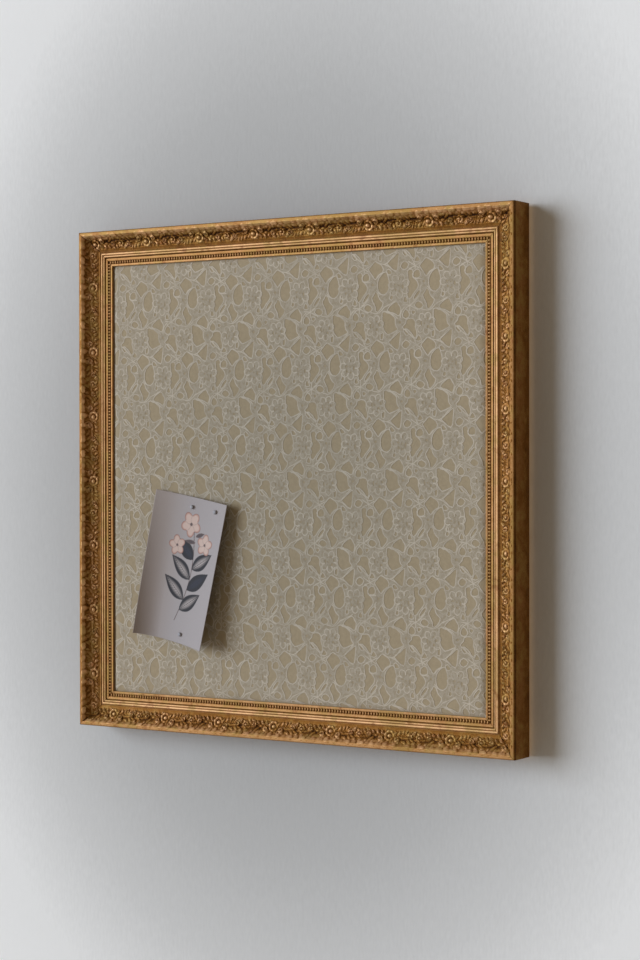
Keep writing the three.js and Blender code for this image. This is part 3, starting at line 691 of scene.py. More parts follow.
for number, side in enumerate(SIDES):
    bm = bmesh.new()
    relief_layer = bm.verts.layers.float.new("relief")
    run = HALF / MM - BEAD_LINE - MITRE_GAP
    count = int(2 * run / BEAD_PITCH)
    for k in range(count):
        along = (k - (count - 1) / 2) * BEAD_PITCH
        seat = Matrix.Translation(on_top_rail(along, BEAD_LINE, BEAD_BASE))
        shape = seat @ Matrix.Diagonal(BEAD_STRETCH)
        bmesh.ops.create_icosphere(bm, subdivisions=2, radius=BEAD_RADIUS * MM, matrix=shape)
    string = Matrix.Translation(on_top_rail(0, BEAD_LINE, BEAD_BASE)) @ Matrix.Rotation(pi / 2, 4, "Y")
    bmesh.ops.create_cone(
        bm, cap_ends=True, segments=10, radius1=BEAD_STRING * MM, radius2=BEAD_STRING * MM,
        depth=2 * run * MM, matrix=string,
    )
    cut(bm, on_top_rail(0, 0, BEAD_BASE - BEAD_SINK), (0, 1, 0), clear=True)
    close_up(bm)
    for vert in bm.verts:
        rise = (BEAD_BASE - (vert.co.y - FRONT) / MM) / BEAD_RADIUS
        vert[relief_layer] = 0.12 + 0.85 * max(0, rise - 0.12) ** 0.8
    soften(bm, 50)
    turn_to_side(bm, number)
    beading = mesh_object(f"gilt_beading_{side}", bm, gilt_bead)
    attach(beading, "frame")
    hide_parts(f"beading_{side}")

# Corner nails
# A bent steel V nail, pressed into the back across each mitre, pulls the two rails together.
# Its edge ends a little below the wood.
bright_steel, steel = new_material("bright_steel")
smudge = steel.noise(300, 3)
finish(
    bright_steel,
    Base_Color=smudge.mix(tint(150, 150, 152), tint(186, 186, 188)),
    Metallic=0.9,
    Roughness=0.3 + smudge * 0.2,
    Normal=steel.noise(900, 2, (1, 1, 12)).bump(0.03 * MM, 0.4),
)


def repaint(node, material):
    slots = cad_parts[node].data.materials
    slots.clear()
    slots.append(material)


for side in SIDES:
    repaint(f"corner_nail_{side}", bright_steel)

# Softboard core
# A slab of pressed wood fibre that grips the pins, cut a little smaller than the rebate. It keeps
# the panel flat and carries the wadding and both cloths.
soft_fibre, fibre = new_material("soft_fibre")
flecks = fibre.noise(380, 5)
finish(
    soft_fibre,
    Base_Color=flecks.smooth(0.35, 0.65).mix(tint(168, 138, 96), tint(202, 176, 132)),
    Roughness=0.95,
    Normal=flecks.bump(0.4 * MM, 0.6),
)
repaint("softboard_core", soft_fibre)

# Wadding
# One layer of bonded polyester wadding, cut to the core's size, lies between the core and the
# cloths and gives the pin face its crowned edge.
CORE_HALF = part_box("softboard_core")[1].x / MM
CORE_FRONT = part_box("softboard_core")[0].y / MM
CORE_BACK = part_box("softboard_core")[1].y / MM
SIGHT_HALF = HALF / MM - RAIL_WIDTH
LAYER_GAP = 0.15
WADDING_EDGE = 1.2
CROWN = 2.1
CROWN_RUN = 6
WADDING_STEPS = 110
MIDDLE_SHARE = 0.6
WADDING_BACK = CORE_FRONT - LAYER_GAP
WADDING_FRONT = WADDING_BACK - WADDING_EDGE


def crown(x, z):
    """How far the pin face swells in front of its edge, at a place on the board."""
    rise = CROWN
    for place in (x, z):
        share = min(max((SIGHT_HALF - abs(place)) / CROWN_RUN, 0), 1)
        rise *= 1 - (1 - share) ** 2
    return rise


def edge_rows(place, reach):
    """Spreads even grid rows, -1 to 1, so that most of them lie in the crowned edge."""
    share = abs(place)
    middle = (SIGHT_HALF - 2 * CROWN_RUN) / reach
    if share < MIDDLE_SHARE:
        wide = middle * share / MIDDLE_SHARE
    else:
        wide = middle + (1 - middle) * (share - MIDDLE_SHARE) / (1 - MIDDLE_SHARE)
    return reach * wide * (1 if place > 0 else -1)


white_fill, fill = new_material("white_fill")
lofty = fill.noise(500, 4)
finish(
    white_fill,
    Base_Color=lofty.mix(tint(222, 219, 212), tint(240, 238, 232)),
    Roughness=1.0,
    Normal=lofty.bump(0.5 * MM, 0.6),
)
bm = bmesh.new()
bmesh.ops.create_grid(bm, x_segments=WADDING_STEPS, y_segments=WADDING_STEPS, size=1)
face_side = list(bm.verts)
core_side = second_skin(bm)
for verts, crowned in ((core_side, False), (face_side, True)):
    for vert in verts:
        x, z = (edge_rows(value, CORE_HALF) for value in vert.co.xy)
        vert.co = Vector((x, WADDING_FRONT - crown(x, z) if crowned else WADDING_BACK, z)) * MM
bmesh.ops.recalc_face_normals(bm, faces=bm.faces)
soften(bm)
bmesh.ops.translate(bm, vec=(0, 0, MIDDLE), verts=bm.verts)
pad = mesh_object("wadding_pad", bm, white_fill)
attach(pad, "frame")
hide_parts("wadding")

# Cotton cover
# Plain-woven cream cotton, stretched over the wadding, taken round the core's edges and turned in
# behind it with its corners cut off.
COTTON_OFFSET = 0.4
COTTON_TURN_IN = 34
COTTON_STEP = 2.8
COTTON_PALE = tint(170, 155, 128)
COTTON_DEEP = tint(154, 140, 114)
# Painted light on both cloths: a factor on their colour, low at the board's middle and high towards its
# edges, rising over the given distances from the middle in metres.
CLOTH_MIDDLE = (0.88, 0.88, 0.88, 1)
CLOTH_EDGE = (1.07, 1.04, 1.02, 1)
CLOTH_LIGHT_RISE = (0.04, 0.3)
CROWN_CREASES = (4, 2, 0)


class Wrap:
    """A flat cloth taken over the front, the edge and the back of the core, offset mm off them."""

    def __init__(self, offset, turn_in):
        self.edge = CORE_HALF + offset
        self.front = WADDING_FRONT - offset
        self.back = CORE_BACK + offset
        self.drop = self.back - self.front
        self.reach = self.edge + self.drop + turn_in

    def spot(self, across, up, lift=0.0):
        """Where a place on the flat cloth goes, lifted off it to its outer side."""
        over = max(abs(across), abs(up)) - self.edge
        x = min(max(across, -self.edge), self.edge)
        z = min(max(up, -self.edge), self.edge)
        if over <= 0:
            return Vector((x, self.front - crown(x, z) - lift, z)) * MM
        turned_in = max(over - self.drop, 0)
        y = self.front + min(over, self.drop) + (lift if turned_in else 0)
        stretch = (self.edge - turned_in + (0 if turned_in else lift)) / self.edge
        if abs(across) >= abs(up):
            x *= stretch
        else:
            z *= stretch
        return Vector((x, y, z)) * MM

    def trim(self, bm):
        """Cuts flat cloth, drawn in mm on X and Y, to its size with the corners taken off."""
        cuts = [((self.reach, 0, 0), (1, 0, 0)), ((self.edge + self.drop / 2,) * 2 + (0,), (1, 1, 0))]
        for place, normal in cuts:
            for quarter in range(4):
                turn = Matrix.Rotation(quarter * pi / 2, 3, "Z")
                cut(bm, turn @ Vector(place), turn @ Vector(normal), clear=True)

    def crease(self, bm):
        """Cuts edges into flat cloth where it will bend, without taking any off."""
        bends = [SIGHT_HALF - inset for inset in CROWN_CREASES]
        for bend in (*bends, self.edge, self.edge + self.drop):
            for quarter in range(4):
                normal = Matrix.Rotation(quarter * pi / 2, 3, "Z") @ Vector((1, 0, 0))
                cut(bm, bend * normal, normal)

    def area(self):
        """Area of the flat cloth in square metres, without its corners."""
        corner = 2 * self.reach - 2 * self.edge - self.drop
        return (4 * self.reach ** 2 - 2 * corner ** 2) * MM ** 2


def painted_edge_light(shade, colour):
    """The colour of a cloth with painted light: darker at the board's middle and paler towards its edges.
    """
    place = shade.node("TexCoord", output="Object")
    away = shade.node("VectorMath", {"operation": "DISTANCE"}, {0: place, 1: (0, 0, MIDDLE)}, "Value")
    level = away.smooth(*CLOTH_LIGHT_RISE).mix(CLOTH_MIDDLE, CLOTH_EDGE)
    multiply = {"data_type": "RGBA", "blend_type": "MULTIPLY"}
    return shade.node("Mix", multiply, {0: 1.0, 6: colour, 7: level}, 2)


cream_cotton, cotton = new_material("cream_cotton")
place = cotton.node("TexCoord", output="Object")
weave = []
for bands in ("X", "Z"):
    threads = cotton.node(
        "TexWave", {"bands_direction": bands}, {"Vector": place, "Scale": 420, "Distortion": 0.6},
    )
    weave.append(threads)
woven = weave[0].node("Mix", {"data_type": "FLOAT"}, {0: 0.5, 2: weave[0], 3: weave[1]})
tone = woven * 0.4 + cotton.noise(45, 4) * 0.2 + cotton.noise(240, 3).smooth(0.3, 0.7) * 0.4
finish(
    cream_cotton,
    Base_Color=painted_edge_light(cotton, tone.mix(COTTON_DEEP, COTTON_PALE)),
    Roughness=0.92,
    Sheen_Weight=0.15,
    Normal=woven.bump(0.15 * MM, 0.5),
)
wrap = Wrap(COTTON_OFFSET, COTTON_TURN_IN)
bm = bmesh.new()
steps = round(2 * wrap.reach / COTTON_STEP)
bmesh.ops.create_grid(bm, x_segments=steps, y_segments=steps, size=wrap.reach)
wrap.trim(bm)
for vert in bm.verts:
    vert.co = wrap.spot(vert.co.x, vert.co.y) + Vector((0, 0, MIDDLE))
smooth_faces(bm)
cover = mesh_object("cotton_sheet", bm, cream_cotton)
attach(cover, "frame")
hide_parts("cotton_cover")
(2 * wrap.reach * MM,) * 2
wrap.area()

# Lace cover
# Machine-made floral lace in off-white thread, laid over the cotton and turned in with it. Roses,
# leaf sprays and ring flowers are tied by thin stems, with open ground between them.
LACE_OFFSET = 0.54
LACE_TURN_IN = 26
LACE_WIDE = 55.25
LACE_HIGH = 73.25
LACE_TURN = 1.15
LACE_CELLS = (6, 5)
LACE_CREST = 0.06
LACE_JOIN = 0.02
CORD_WIDTH = 1.4
CORD_STEP = 2.2
CORD_LAP = 0.1
LACE_CORD = tint(194, 185, 169)
LACE_FILL = tint(161, 151, 133)
LACE_OPENING = tint(153, 141, 119)
ROSES = ((16.2, 31.0, 1.0), (44.0, -5.2, 0.92))
ROSE_LOOPS = 7
LOOP_TURN = 0.3
ROSE_LOOP = ((5.4, -0.42), (9.4, -0.36), (11.6, 0), (9.4, 0.36), (5.4, 0.42))
LACE_LEFT = (
    (0.4, 54.5), (0.7, 48.2), (-2.8, 42.8), (-6.8, 39.9), (-8.2, 35.8), (-8.2, 31.6), (-7.7, 28.2),
    (-6.1, 24.5), (-3.3, 22), (-0.7, 19.1), (-0.5, 14.9), (-1.2, 10.8), (-3.3, 7.4), (-3.2, 1.6),
    (-3, -4.2), (-2.3, -8.8), (-1.4, -11.3), (-1.2, -15.1),
)
LACE_TOP = (
    (0.4, 54.5), (3.8, 57), (7.5, 58.4), (11.7, 61.2), (16.7, 64.4), (18.7, 60.8), (19.2, 56.4),
    (22.5, 55.6), (27.5, 54.8), (31.2, 53.1), (33.3, 50.9), (37.5, 51.2), (40.8, 52.8), (43.3, 54.8),
    (46.2, 56.9), (48.8, 55.6), (50.5, 54.1), (53.8, 53.8),
)
LACE_HOLES = (
    ((26.2, 44.1), (30, 45.3), (31.3, 42.2), (30.8, 38.2), (33.5, 35.8), (35.8, 33.1), (36.5, 29.8),
     (34.5, 26.6), (31.7, 23.9), (28.8, 19.9), (26.7, 18.7), (25.3, 22.4), (25, 27), (25.6, 31.6),
     (26.8, 35.1), (26.5, 39.9)),
    ((-6.5, 34.1), (-5.5, 38.1), (-3.3, 41.1), (0, 43.9), (2.3, 44.5), (3.7, 41.4), (4.8, 37.4),
     (5.2, 33.2), (4.3, 28.2), (2.2, 25.6), (0, 24.2), (-3.2, 24.9), (-5.2, 26.9), (-6.4, 29.9)),
    ((39.3, 48.2), (42.7, 51.8), (46.2, 54.8), (50, 52.7), (53.2, 50.2), (54.3, 47.4), (53.2, 44.5),
     (50, 42.9), (47.2, 40.1), (45.7, 39.1), (43.3, 42.4), (41, 45.6)),
    ((23.9, -1.2), (27.9, -0.2), (31.2, -0.9), (32.8, -3.4), (32.5, -7.6), (33.8, -11.8), (34, -15.8),
     (32.8, -17.8), (30.8, -15.8), (29.2, -13.2), (26.7, -10.8), (24.2, -8.8), (20.8, -8.8),
     (19.8, -7.4), (21.5, -5.8), (23.3, -4.1)),
    ((-2.1, 7.1), (0, 7.8), (2.5, 6.3), (5, 5.9), (8.3, 3.6), (10.9, 1.1), (10.9, -3.2), (12, -6.9),
     (13.8, -8.9), (10, -10.8), (5.8, -12.4), (3.3, -13), (1.2, -11.2), (-0.4, -9.1), (-1.8, -4.9),
     (-2.2, 0.1), (-2.2, 4.1)),
    ((4.3, 52.8), (7.5, 55.2), (10.8, 57.4), (14.3, 60.5), (16.3, 61.6), (16.2, 57.9), (15.5, 53.2),
     (15, 49.1), (13.8, 45.5), (10.8, 46.6), (7.9, 49.4)),
    ((18.8, 49.1), (20, 51.5), (22.5, 53.2), (25, 52.1), (26.7, 50.3), (25.2, 47.6), (22.5, 46.2),
     (20.1, 47)),
    ((33.5, -20.3), (35, -17.9), (36.2, -15.9), (37.8, -17.5), (39, -19.9), (36.7, -20.8)),
    ((31.6, 40.9), (33.3, 43.2), (35.8, 44.8), (37.8, 44.1), (39.1, 41.2), (38.7, 38.4), (35.8, 37.5),
     (33, 37.9)),
    ((20.5, -10.1), (22.5, -10.4), (24.5, -12.9), (25, -14.8), (23.4, -14.6), (21.3, -12.2)),
    ((3.8, 46.4), (5.2, 46.9), (7.2, 45.2), (8.7, 43.3), (6.7, 42.5), (4.7, 42.9)),
    ((37.9, 25.7), (38.8, 24.5), (36.8, 21.6), (33.5, 18.4), (32.2, 17.6), (32.3, 19.1), (34.7, 22.8)),
    ((42.2, 21.2), (44.2, 24), (45.8, 26.8), (47.7, 25.1), (48.8, 21.4), (51.2, 18.2), (53.4, 16.4),
     (52.8, 14.1), (50.7, 11.2), (47.5, 8.4), (46.3, 9.2), (45.8, 13.2), (43.5, 17.6)),
    ((33.1, 12), (35, 14.8), (37.2, 15.2), (40, 13.7), (41.5, 11.6), (40, 9.6), (37.5, 8.8), (34.7, 10.2)),
    ((5.2, 11.4), (8.3, 13.9), (13.2, 16.2), (15.3, 13.2), (17.3, 10.1), (17, 7.4), (15.5, 3.9),
     (12.5, 5.4), (9.2, 7), (6.2, 7.6), (3.7, 9.2)),
    ((20.2, 2.4), (20.9, 6.4), (22.9, 8.5), (25, 7.2), (26.6, 4.1), (25.8, 1.8), (22.5, 0.9)),
    ((29.7, 7.3), (32.3, 6.9), (33.1, 5.8), (30.9, 3.9), (29.8, 4.9)),
    ((21, 16.2), (22.5, 20.9), (24, 18.9), (24.8, 15.9)),
    ((6.8, 25.6), (8.2, 26), (8.8, 23.2), (9.1, 19.9), (7.6, 18.8), (6.2, 19.6), (7.2, 22.4)),
    ((50.2, -11.1), (52.7, -10.9), (53.1, -14.2), (52.3, -17.6), (50.5, -17.2), (50.6, -14.2)),
)
STEMS = (
    ((0, 12.2), (5.5, 14.4), (10, 16.4), (14, 18.4)), ((40, 8.2), (46.5, 6.8), (51, 8.4), (55.2, 12.2)),
    ((0, 52), (5, 53.7), (10.8, 59.9), (15, 63.4)), ((46.7, 55.3), (50, 53.3), (55.2, 52.2)),
    ((0, 52), (4.2, 50.6), (10.8, 46), (14, 44.4)), ((46.2, 38.3), (48.8, 41.8), (52, 43.8), (55.2, 45)),
    ((46.7, 29), (49.5, 25.5), (52.5, 24.2), (55.2, 23.6)), ((40.5, 36.5), (36.5, 36.6), (32.6, 37)),
    ((40.5, 30.5), (38.8, 27.6), (40.2, 24.5)), ((38, 20.5), (34, 16.8), (30, 14.5)),
    ((17, 1.5), (18.2, 7), (20.5, 10), (23, 12)), ((14.2, 0.5), (11.5, 3.4), (6, 6.6), (1.5, 8.4)),
    ((21, 64), (24.5, 60.6), (28, 57.8), (31.8, 54.4)),
)
STARS = (
    (34.2, 48.6, ((26.5, 53.4), (27.5, 46.2), (31.6, 54), (40.2, 51.6), (38.6, 46), (34, 45.6))),
    (27.6, 12.4, ((20.4, 13.4), (33.8, 15.8), (36.6, 7.6), (27.6, 7), (27.8, 18), (22, 9.4))),
)
EYELETS = (
    (16.7, 37.4, 1, 1.3), (21.2, 36.1, 1.2, 1.2), (20.2, 30.1, 1, 2.2), (12.2, 32.4, 1.3, 0.9),
    (12.7, 27.6, 0.9, 1.2), (16.7, 26.1, 1.1, 0.8), (16.3, 31.4, 0.8, 0.7), (39.6, -5, 0.8, 2.8),
    (42.9, -5.4, 0.9, 0.8), (46.8, -8.4, 1.3, 1.5), (49.3, -4.2, 1, 1.7), (46.8, -0.8, 1.2, 0.8),
    (42.9, 0.8, 0.8, 0.8), (42.1, -10.8, 1, 0.7), (45.1, -11.2, 0.9, 0.6), (42.9, 33.7, 1.4, 1.3),
    (16.7, -2.9, 1.4, 1.3),
)


def curve(points, closed=True):
    """Points about a cord step apart on a smooth line through the given ones."""
    count = len(points)
    line = []
    for i in range(count if closed else count - 1):
        near = range(i - 1, i + 3)
        knots = [points[k % count if closed else min(max(k, 0), count - 1)] for k in near]
        before, start, end, after = (Vector(knot) for knot in knots)
        steps = max(1, round((end - start).length / CORD_STEP))
        for k in range(steps):
            share = k / steps
            bend = (2 * before - 5 * start + 4 * end - after) * share ** 2
            bend += (3 * start - before - 3 * end + after) * share ** 3
            line.append(start + ((end - before) * share + bend) / 2)
    return line if closed else line + [Vector(points[-1])]


def swell(line, by):
    """A closed line moved outward."""
    around = line[1:] + line[:1]
    hand = 1 if sum(a.x * b.y - b.x * a.y for a, b in zip(line, around)) > 0 else -1
    sides = [(after - before).orthogonal().normalized() for before, after in zip(line[-1:] + line, around)]
    return [point - hand * by * side for point, side in zip(line, sides)]


def cord(bm, line, closed=True):
    """A raised cord along a line: two low edges and a crest between them."""
    rows = []
    for i, point in enumerate(line):
        ahead = line[(i + 1) % len(line)] if closed or i + 1 < len(line) else point
        behind = line[i - 1] if closed or i else point
        side = (ahead - behind).orthogonal().normalized() * CORD_WIDTH / 2
        rows.append([bm.verts.new((*(point + k * side), 1 - abs(k))) for k in (-1, 0, 1)])
    for row, after in zip(rows, rows[1:] + (rows[:1] if closed else [])):
        for k in (0, 1):
            bm.faces.new((row[k], after[k], after[k + 1], row[k + 1]))


def lace_border():
    """The line round one repeat, which runs through worked lace only."""
    left, top = [[Vector(point) for point in line] for line in (LACE_LEFT, LACE_TOP)]
    over, up = Vector((LACE_WIDE, 0)), Vector((0, LACE_HIGH))
    line = left + [point - up for point in top] + [left[0] + over - up]
    line += [point + over for point in left[:0:-1]] + [left[0] + over]
    return line + top[:0:-1]


def lace_cell():
    """One repeat of the lace, flat, in mm: worked cloth with holes, and cords round them."""
    bm = bmesh.new()
    holes = [curve(hole) for hole in LACE_HOLES]
    loops = [lace_border(), *holes]
    for x, y, wide, high in EYELETS:
        loops.append([(x + wide * cos(k * pi / 4), y + high * sin(k * pi / 4)) for k in range(8)])
    for loop in loops:
        closed_edges(bm, [bm.verts.new((*point, 0)) for point in loop])
    bmesh.ops.triangle_fill(bm, use_beauty=True, edges=bm.edges[:])
    for hole in holes:
        cord(bm, swell(hole, CORD_WIDTH / 2 - CORD_LAP))
    petals = [((x, y), tip) for x, y, tips in STARS for tip in tips]
    for line in (*STEMS, *petals):
        cord(bm, curve(line, closed=False), closed=False)
    for x, y, size in ROSES:
        for k in range(ROSE_LOOPS):
            turn = LOOP_TURN + 2 * pi * k / ROSE_LOOPS
            bent = [(reach * size, turn + spread) for reach, spread in ROSE_LOOP]
            line = [(x + reach * cos(angle), y + reach * sin(angle)) for reach, angle in bent]
            cord(bm, curve(line, closed=False), closed=False)
    for face in bm.faces:
        face.normal_update()
        if face.normal.z < 0:
            face.normal_flip()
    return bm


lace_thread, thread = new_material("lace_thread")
place = thread.node("TexCoord", output="Object")
twist = thread.node(
    "TexWave", {"bands_direction": "DIAGONAL"}, {"Vector": place, "Scale": 380, "Distortion": 2.5},
)
mesh_edge = thread.node("TexVoronoi", {"feature": "DISTANCE_TO_EDGE"}, {"Vector": place, "Scale": 640})
uneven = thread.noise(95, 3).smooth(0.3, 0.7)
tone = thread.attribute("worked") * (uneven + 0.25) + twist * 0.15 + thread.noise(150, 4) * 0.2
worked = tone.mix(LACE_FILL, LACE_CORD)
loose = (1 - thread.attribute("worked")).smooth(0.3, 0.9)
opening = (mesh_edge.smooth(0.1, 0.3) * 0.35 + thread.noise(300, 2).smooth(0.42, 0.62) * 0.75) * loose
finish(
    lace_thread,
    Base_Color=painted_edge_light(thread, opening.mix(worked, LACE_OPENING)),
    Roughness=0.85,
    Sheen_Weight=0.2,
    Normal=twist.bump(0.12 * MM, 0.6),
)
wrap = Wrap(LACE_OFFSET, LACE_TURN_IN)
cell = bpy.data.meshes.new("lace_cell")
bm = lace_cell()
bm.to_mesh(cell)
bm.free()
bm = bmesh.new()
columns, rows = LACE_CELLS
for i in range(-columns, columns):
    for j in range(-rows, rows):
        start = len(bm.verts)
        bm.from_mesh(cell)
        bm.verts.ensure_lookup_table()
        bmesh.ops.translate(bm, vec=(i * LACE_WIDE, j * LACE_HIGH, 0), verts=bm.verts[start:])
bpy.data.meshes.remove(cell)
slant = Matrix.Rotation(radians(LACE_TURN), 3, "Z")
bmesh.ops.rotate(bm, cent=(0, 0, 0), matrix=slant, verts=bm.verts)
wrap.trim(bm)
bmesh.ops.remove_doubles(bm, verts=bm.verts, dist=LACE_JOIN)
wrap.crease(bm)
lace_area = sum(face.calc_area() for face in bm.faces) * MM ** 2
worked_layer = bm.verts.layers.float.new("worked")
for vert in bm.verts:
    vert[worked_layer] = vert.co.z
    vert.co = wrap.spot(vert.co.x, vert.co.y, LACE_CREST * vert.co.z) + Vector((0, 0, MIDDLE))
smooth_faces(bm)
lace = mesh_object("lace_sheet", bm, lace_thread)
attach(lace, "frame")
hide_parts("lace_cover")
(2 * wrap.reach * MM,) * 2
min(lace_area, wrap.area())

# Backing board
# A sheet of brown hardboard closes the back and holds the turned-in cloths against the core. It
# lies loose in the rebate, under the turn buttons.
brown_hardboard, board = new_material("brown_hardboard")
matted = board.noise(260, 5)
blotchy = (matted * 0.7 + board.noise(18) * 0.3).smooth(0.3, 0.7)
finish(
    brown_hardboard,
    Base_Color=blotchy.mix(tint(98, 68, 44), tint(136, 100, 68)),
    Roughness=0.7,
    Normal=matted.bump(0.1 * MM, 0.5),
)
repaint("backing_board", brown_hardboard)

# Turn buttons
# Stamped plates of brassed steel, tumbled so that their edges are eased. Two on each rail swing over
# the backing board's edge.
BUTTON_WIDTH = 10
BUTTON_REACH = 19
BUTTON_HOLE = 1.8
BUTTON_EASE = 0.22
SHARP_RADIANS = 1
brassed_plate, brass = new_material("brassed_plate")
worn = brass.noise(220, 4)
finish(
    brassed_plate,
    Base_Color=worn.smooth(0.35, 0.7).mix(tint(176, 146, 84), tint(206, 180, 118)),
    Metallic=0.9,
    Roughness=0.28 + worn * 0.2,
    Normal=brass.noise(800, 2, (1, 1, 8)).bump(0.03 * MM, 0.4),
)


def thicken(bm, thickness, ease):
    """Gives flat faces a thickness along Y, in mm, and eases the edges all round."""
    bmesh.ops.translate(bm, vec=(0, thickness * MM, 0), verts=second_skin(bm))
    bmesh.ops.recalc_face_normals(bm, faces=bm.faces)
    sharp = [edge for edge in bm.edges if edge.calc_face_angle(0) > SHARP_RADIANS]
    bmesh.ops.bevel(
        bm, geom=sharp, offset=ease * MM, segments=2, profile=0.5, affect="EDGES", material=-1,
    )
    soften(bm)


for number in range(1, 9):
    low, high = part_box(f"turn_button_{number}")
    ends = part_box(f"button_screw_{number}")
    pivot = (ends[0] + ends[1]) / 2
    middle = (low + high) / 2
    bm = bmesh.new()
    radius = BUTTON_WIDTH / 2
    plate = arc((0, 0), (radius, radius), 0, pi, 20)
    plate += arc((0, radius - BUTTON_REACH), (radius, radius), pi, 2 * pi, 20)
    hole = arc((0, 0), (BUTTON_HOLE, BUTTON_HOLE), 0, 1.9 * pi, 19)
    for loop in (plate, hole):
        closed_edges(bm, [bm.verts.new((x * MM, 0, z * MM)) for x, z in loop])
    bmesh.ops.triangle_fill(bm, use_beauty=True, edges=bm.edges[:])
    thicken(bm, (high.y - low.y) / MM, BUTTON_EASE)
    inward = Vector((middle.x - pivot.x, 0, middle.z - pivot.z))
    turn = Matrix.Rotation(atan2(-inward.x, -inward.z), 4, "Y")
    placed = Matrix.Translation((pivot.x, low.y, pivot.z)) @ turn
    bmesh.ops.transform(bm, matrix=placed, verts=bm.verts)
    button = mesh_object(f"brass_button_{number}", bm, brassed_plate)
    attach(button, f"turn_button_{number}")
    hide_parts(f"turn_button_{number}")

# Button screws
# Roundhead steel wood screws with a sawn slot hold the buttons to the rails. They are driven just
# short of tight, so that the buttons turn.
SCREW_RADIUS = 1.5
SCREW_TAPER = 3
SCREW_RIM = 0.25
SLOT_WIDTH = 0.8
SLOT_DEPTH = 0.7
SLOT_WALL = 0.03
SLOT_FIRST_TURN = 0.4
SLOT_NEXT_TURN = 1.1
SCREW_HEAD = 1.5


def round_box(node):
    """The middle of a round node's box on X and Z, its radius in mm, and its ends on Y."""
    low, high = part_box(node)
    middle = Vector(((low.x + high.x) / 2, 0, (low.z + high.z) / 2))
    return middle, (high.x - low.x) / 2 / MM, low.y, high.y


def turned(profile, place, steps=24):
    """A piece turned about the Y axis through a place, from radius and y at each step in mm."""
    bm = bmesh.new()
    line = [bm.verts.new((radius * MM, y * MM, 0)) for radius, y in profile]
    edges = [bm.edges.new(pair) for pair in zip(line, line[1:])]
    bmesh.ops.spin(
        bm, geom=line + edges, cent=(0, 0, 0), axis=(0, 1, 0), angle=2 * pi, steps=steps, use_merge=True,
    )
    bmesh.ops.remove_doubles(bm, verts=bm.verts, dist=1e-6)
    bmesh.ops.recalc_face_normals(bm, faces=bm.faces)
    bmesh.ops.translate(bm, vec=place, verts=bm.verts)
    soften(bm)
    return bm


def saw_slot(bm, place, turn, floor):
    """Sinks a straight slot through a head, at a turn about Y, to a floor at a given y."""
    side = Matrix.Rotation(turn, 3, "Y") @ Vector((1, 0, 0))
    for edge in (SLOT_WIDTH / 2, SLOT_WIDTH / 2 - SLOT_WALL):
        for hand in (-1, 1):
            cut(bm, place + hand * edge * MM * side, side)
    for vert in bm.verts:
        if abs((vert.co - place).dot(side)) < (SLOT_WIDTH / 2 - SLOT_WALL / 2) * MM:
            vert.co.y = min(vert.co.y, floor)
    soften(bm)


for number in range(1, 9):
    place, radius, *ends = round_box(f"button_screw_{number}")
    tip, top = (end / MM for end in ends)
    seat = top - SCREW_HEAD
    shank = [(0, tip), (SCREW_RADIUS, tip + SCREW_TAPER), (SCREW_RADIUS, seat), (radius, seat)]
    head = arc((0, seat + SCREW_RIM), (radius, SCREW_HEAD - SCREW_RIM), 0, pi / 2, 8)
    bm = turned(shank + head[:-1] + [(0, top)], place)
    saw_slot(bm, place, SLOT_FIRST_TURN + SLOT_NEXT_TURN * number, (top - SLOT_DEPTH) * MM)
    screw = mesh_object(f"round_screw_{number}", bm, bright_steel)
    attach(screw, "frame")
    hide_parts(f"button_screw_{number}")

# Sawtooth hanger, its nails and the wall bumpers
# A bent steel strip with a toothed lower edge is nailed to the top rail and hangs on a wall nail.
# Two felt bumpers stuck to the bottom rail keep the frame off the wall.
HANGER_THICKNESS = 0.8
HANGER_FOOT = 9
HANGER_SLOPE = 3
HANGER_BENDS = 6
HANGER_EASE = 0.12
TEETH_TO_SIDE = 3
TOOTH_WIDTH = 3
TOOTH_DEPTH = 1.6
NAIL_RADIUS = 0.6
NAIL_HEAD = 0.6
BUMPER_FACE = 3
brown_felt, felt = new_material("brown_felt")
fuzz = felt.noise(900, 4)
finish(
    brown_felt,
    Base_Color=fuzz.mix(tint(58, 50, 44), tint(92, 82, 72)),
    Roughness=1.0,
    Normal=fuzz.bump(0.3 * MM, 0.7),
)

low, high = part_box("sawtooth_hanger")
half = high.x / MM
foot = half - HANGER_FOOT
raised = (high.y - low.y) / MM - HANGER_THICKNESS
cuts = {x: 0 for x in (-half, -foot, foot, half)}
for k in range(HANGER_BENDS + 1):
    bend = foot - HANGER_SLOPE * k / HANGER_BENDS
    cuts.update({bend: 0, -bend: 0})
for k in range(-TEETH_TO_SIDE, TEETH_TO_SIDE + 1):
    notch = k * TOOTH_WIDTH
    cuts.update({notch - TOOTH_WIDTH / 4: 0, notch: TOOTH_DEPTH, notch + TOOTH_WIDTH / 4: 0})
bm = bmesh.new()
columns = []
for x in sorted(cuts):
    share = min(max((foot - abs(x)) / HANGER_SLOPE, 0), 1)
    y = low.y + raised * share ** 2 * (3 - 2 * share) * MM
    columns.append([bm.verts.new((x * MM, y, z)) for z in (high.z, low.z + cuts[x] * MM)])
for one, other in zip(columns, columns[1:]):
    bm.faces.new((one[0], one[1], other[1], other[0]))
thicken(bm, HANGER_THICKNESS, HANGER_EASE)
hanger = mesh_object("toothed_hanger", bm, bright_steel)
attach(hanger, "frame")
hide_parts("sawtooth_hanger")

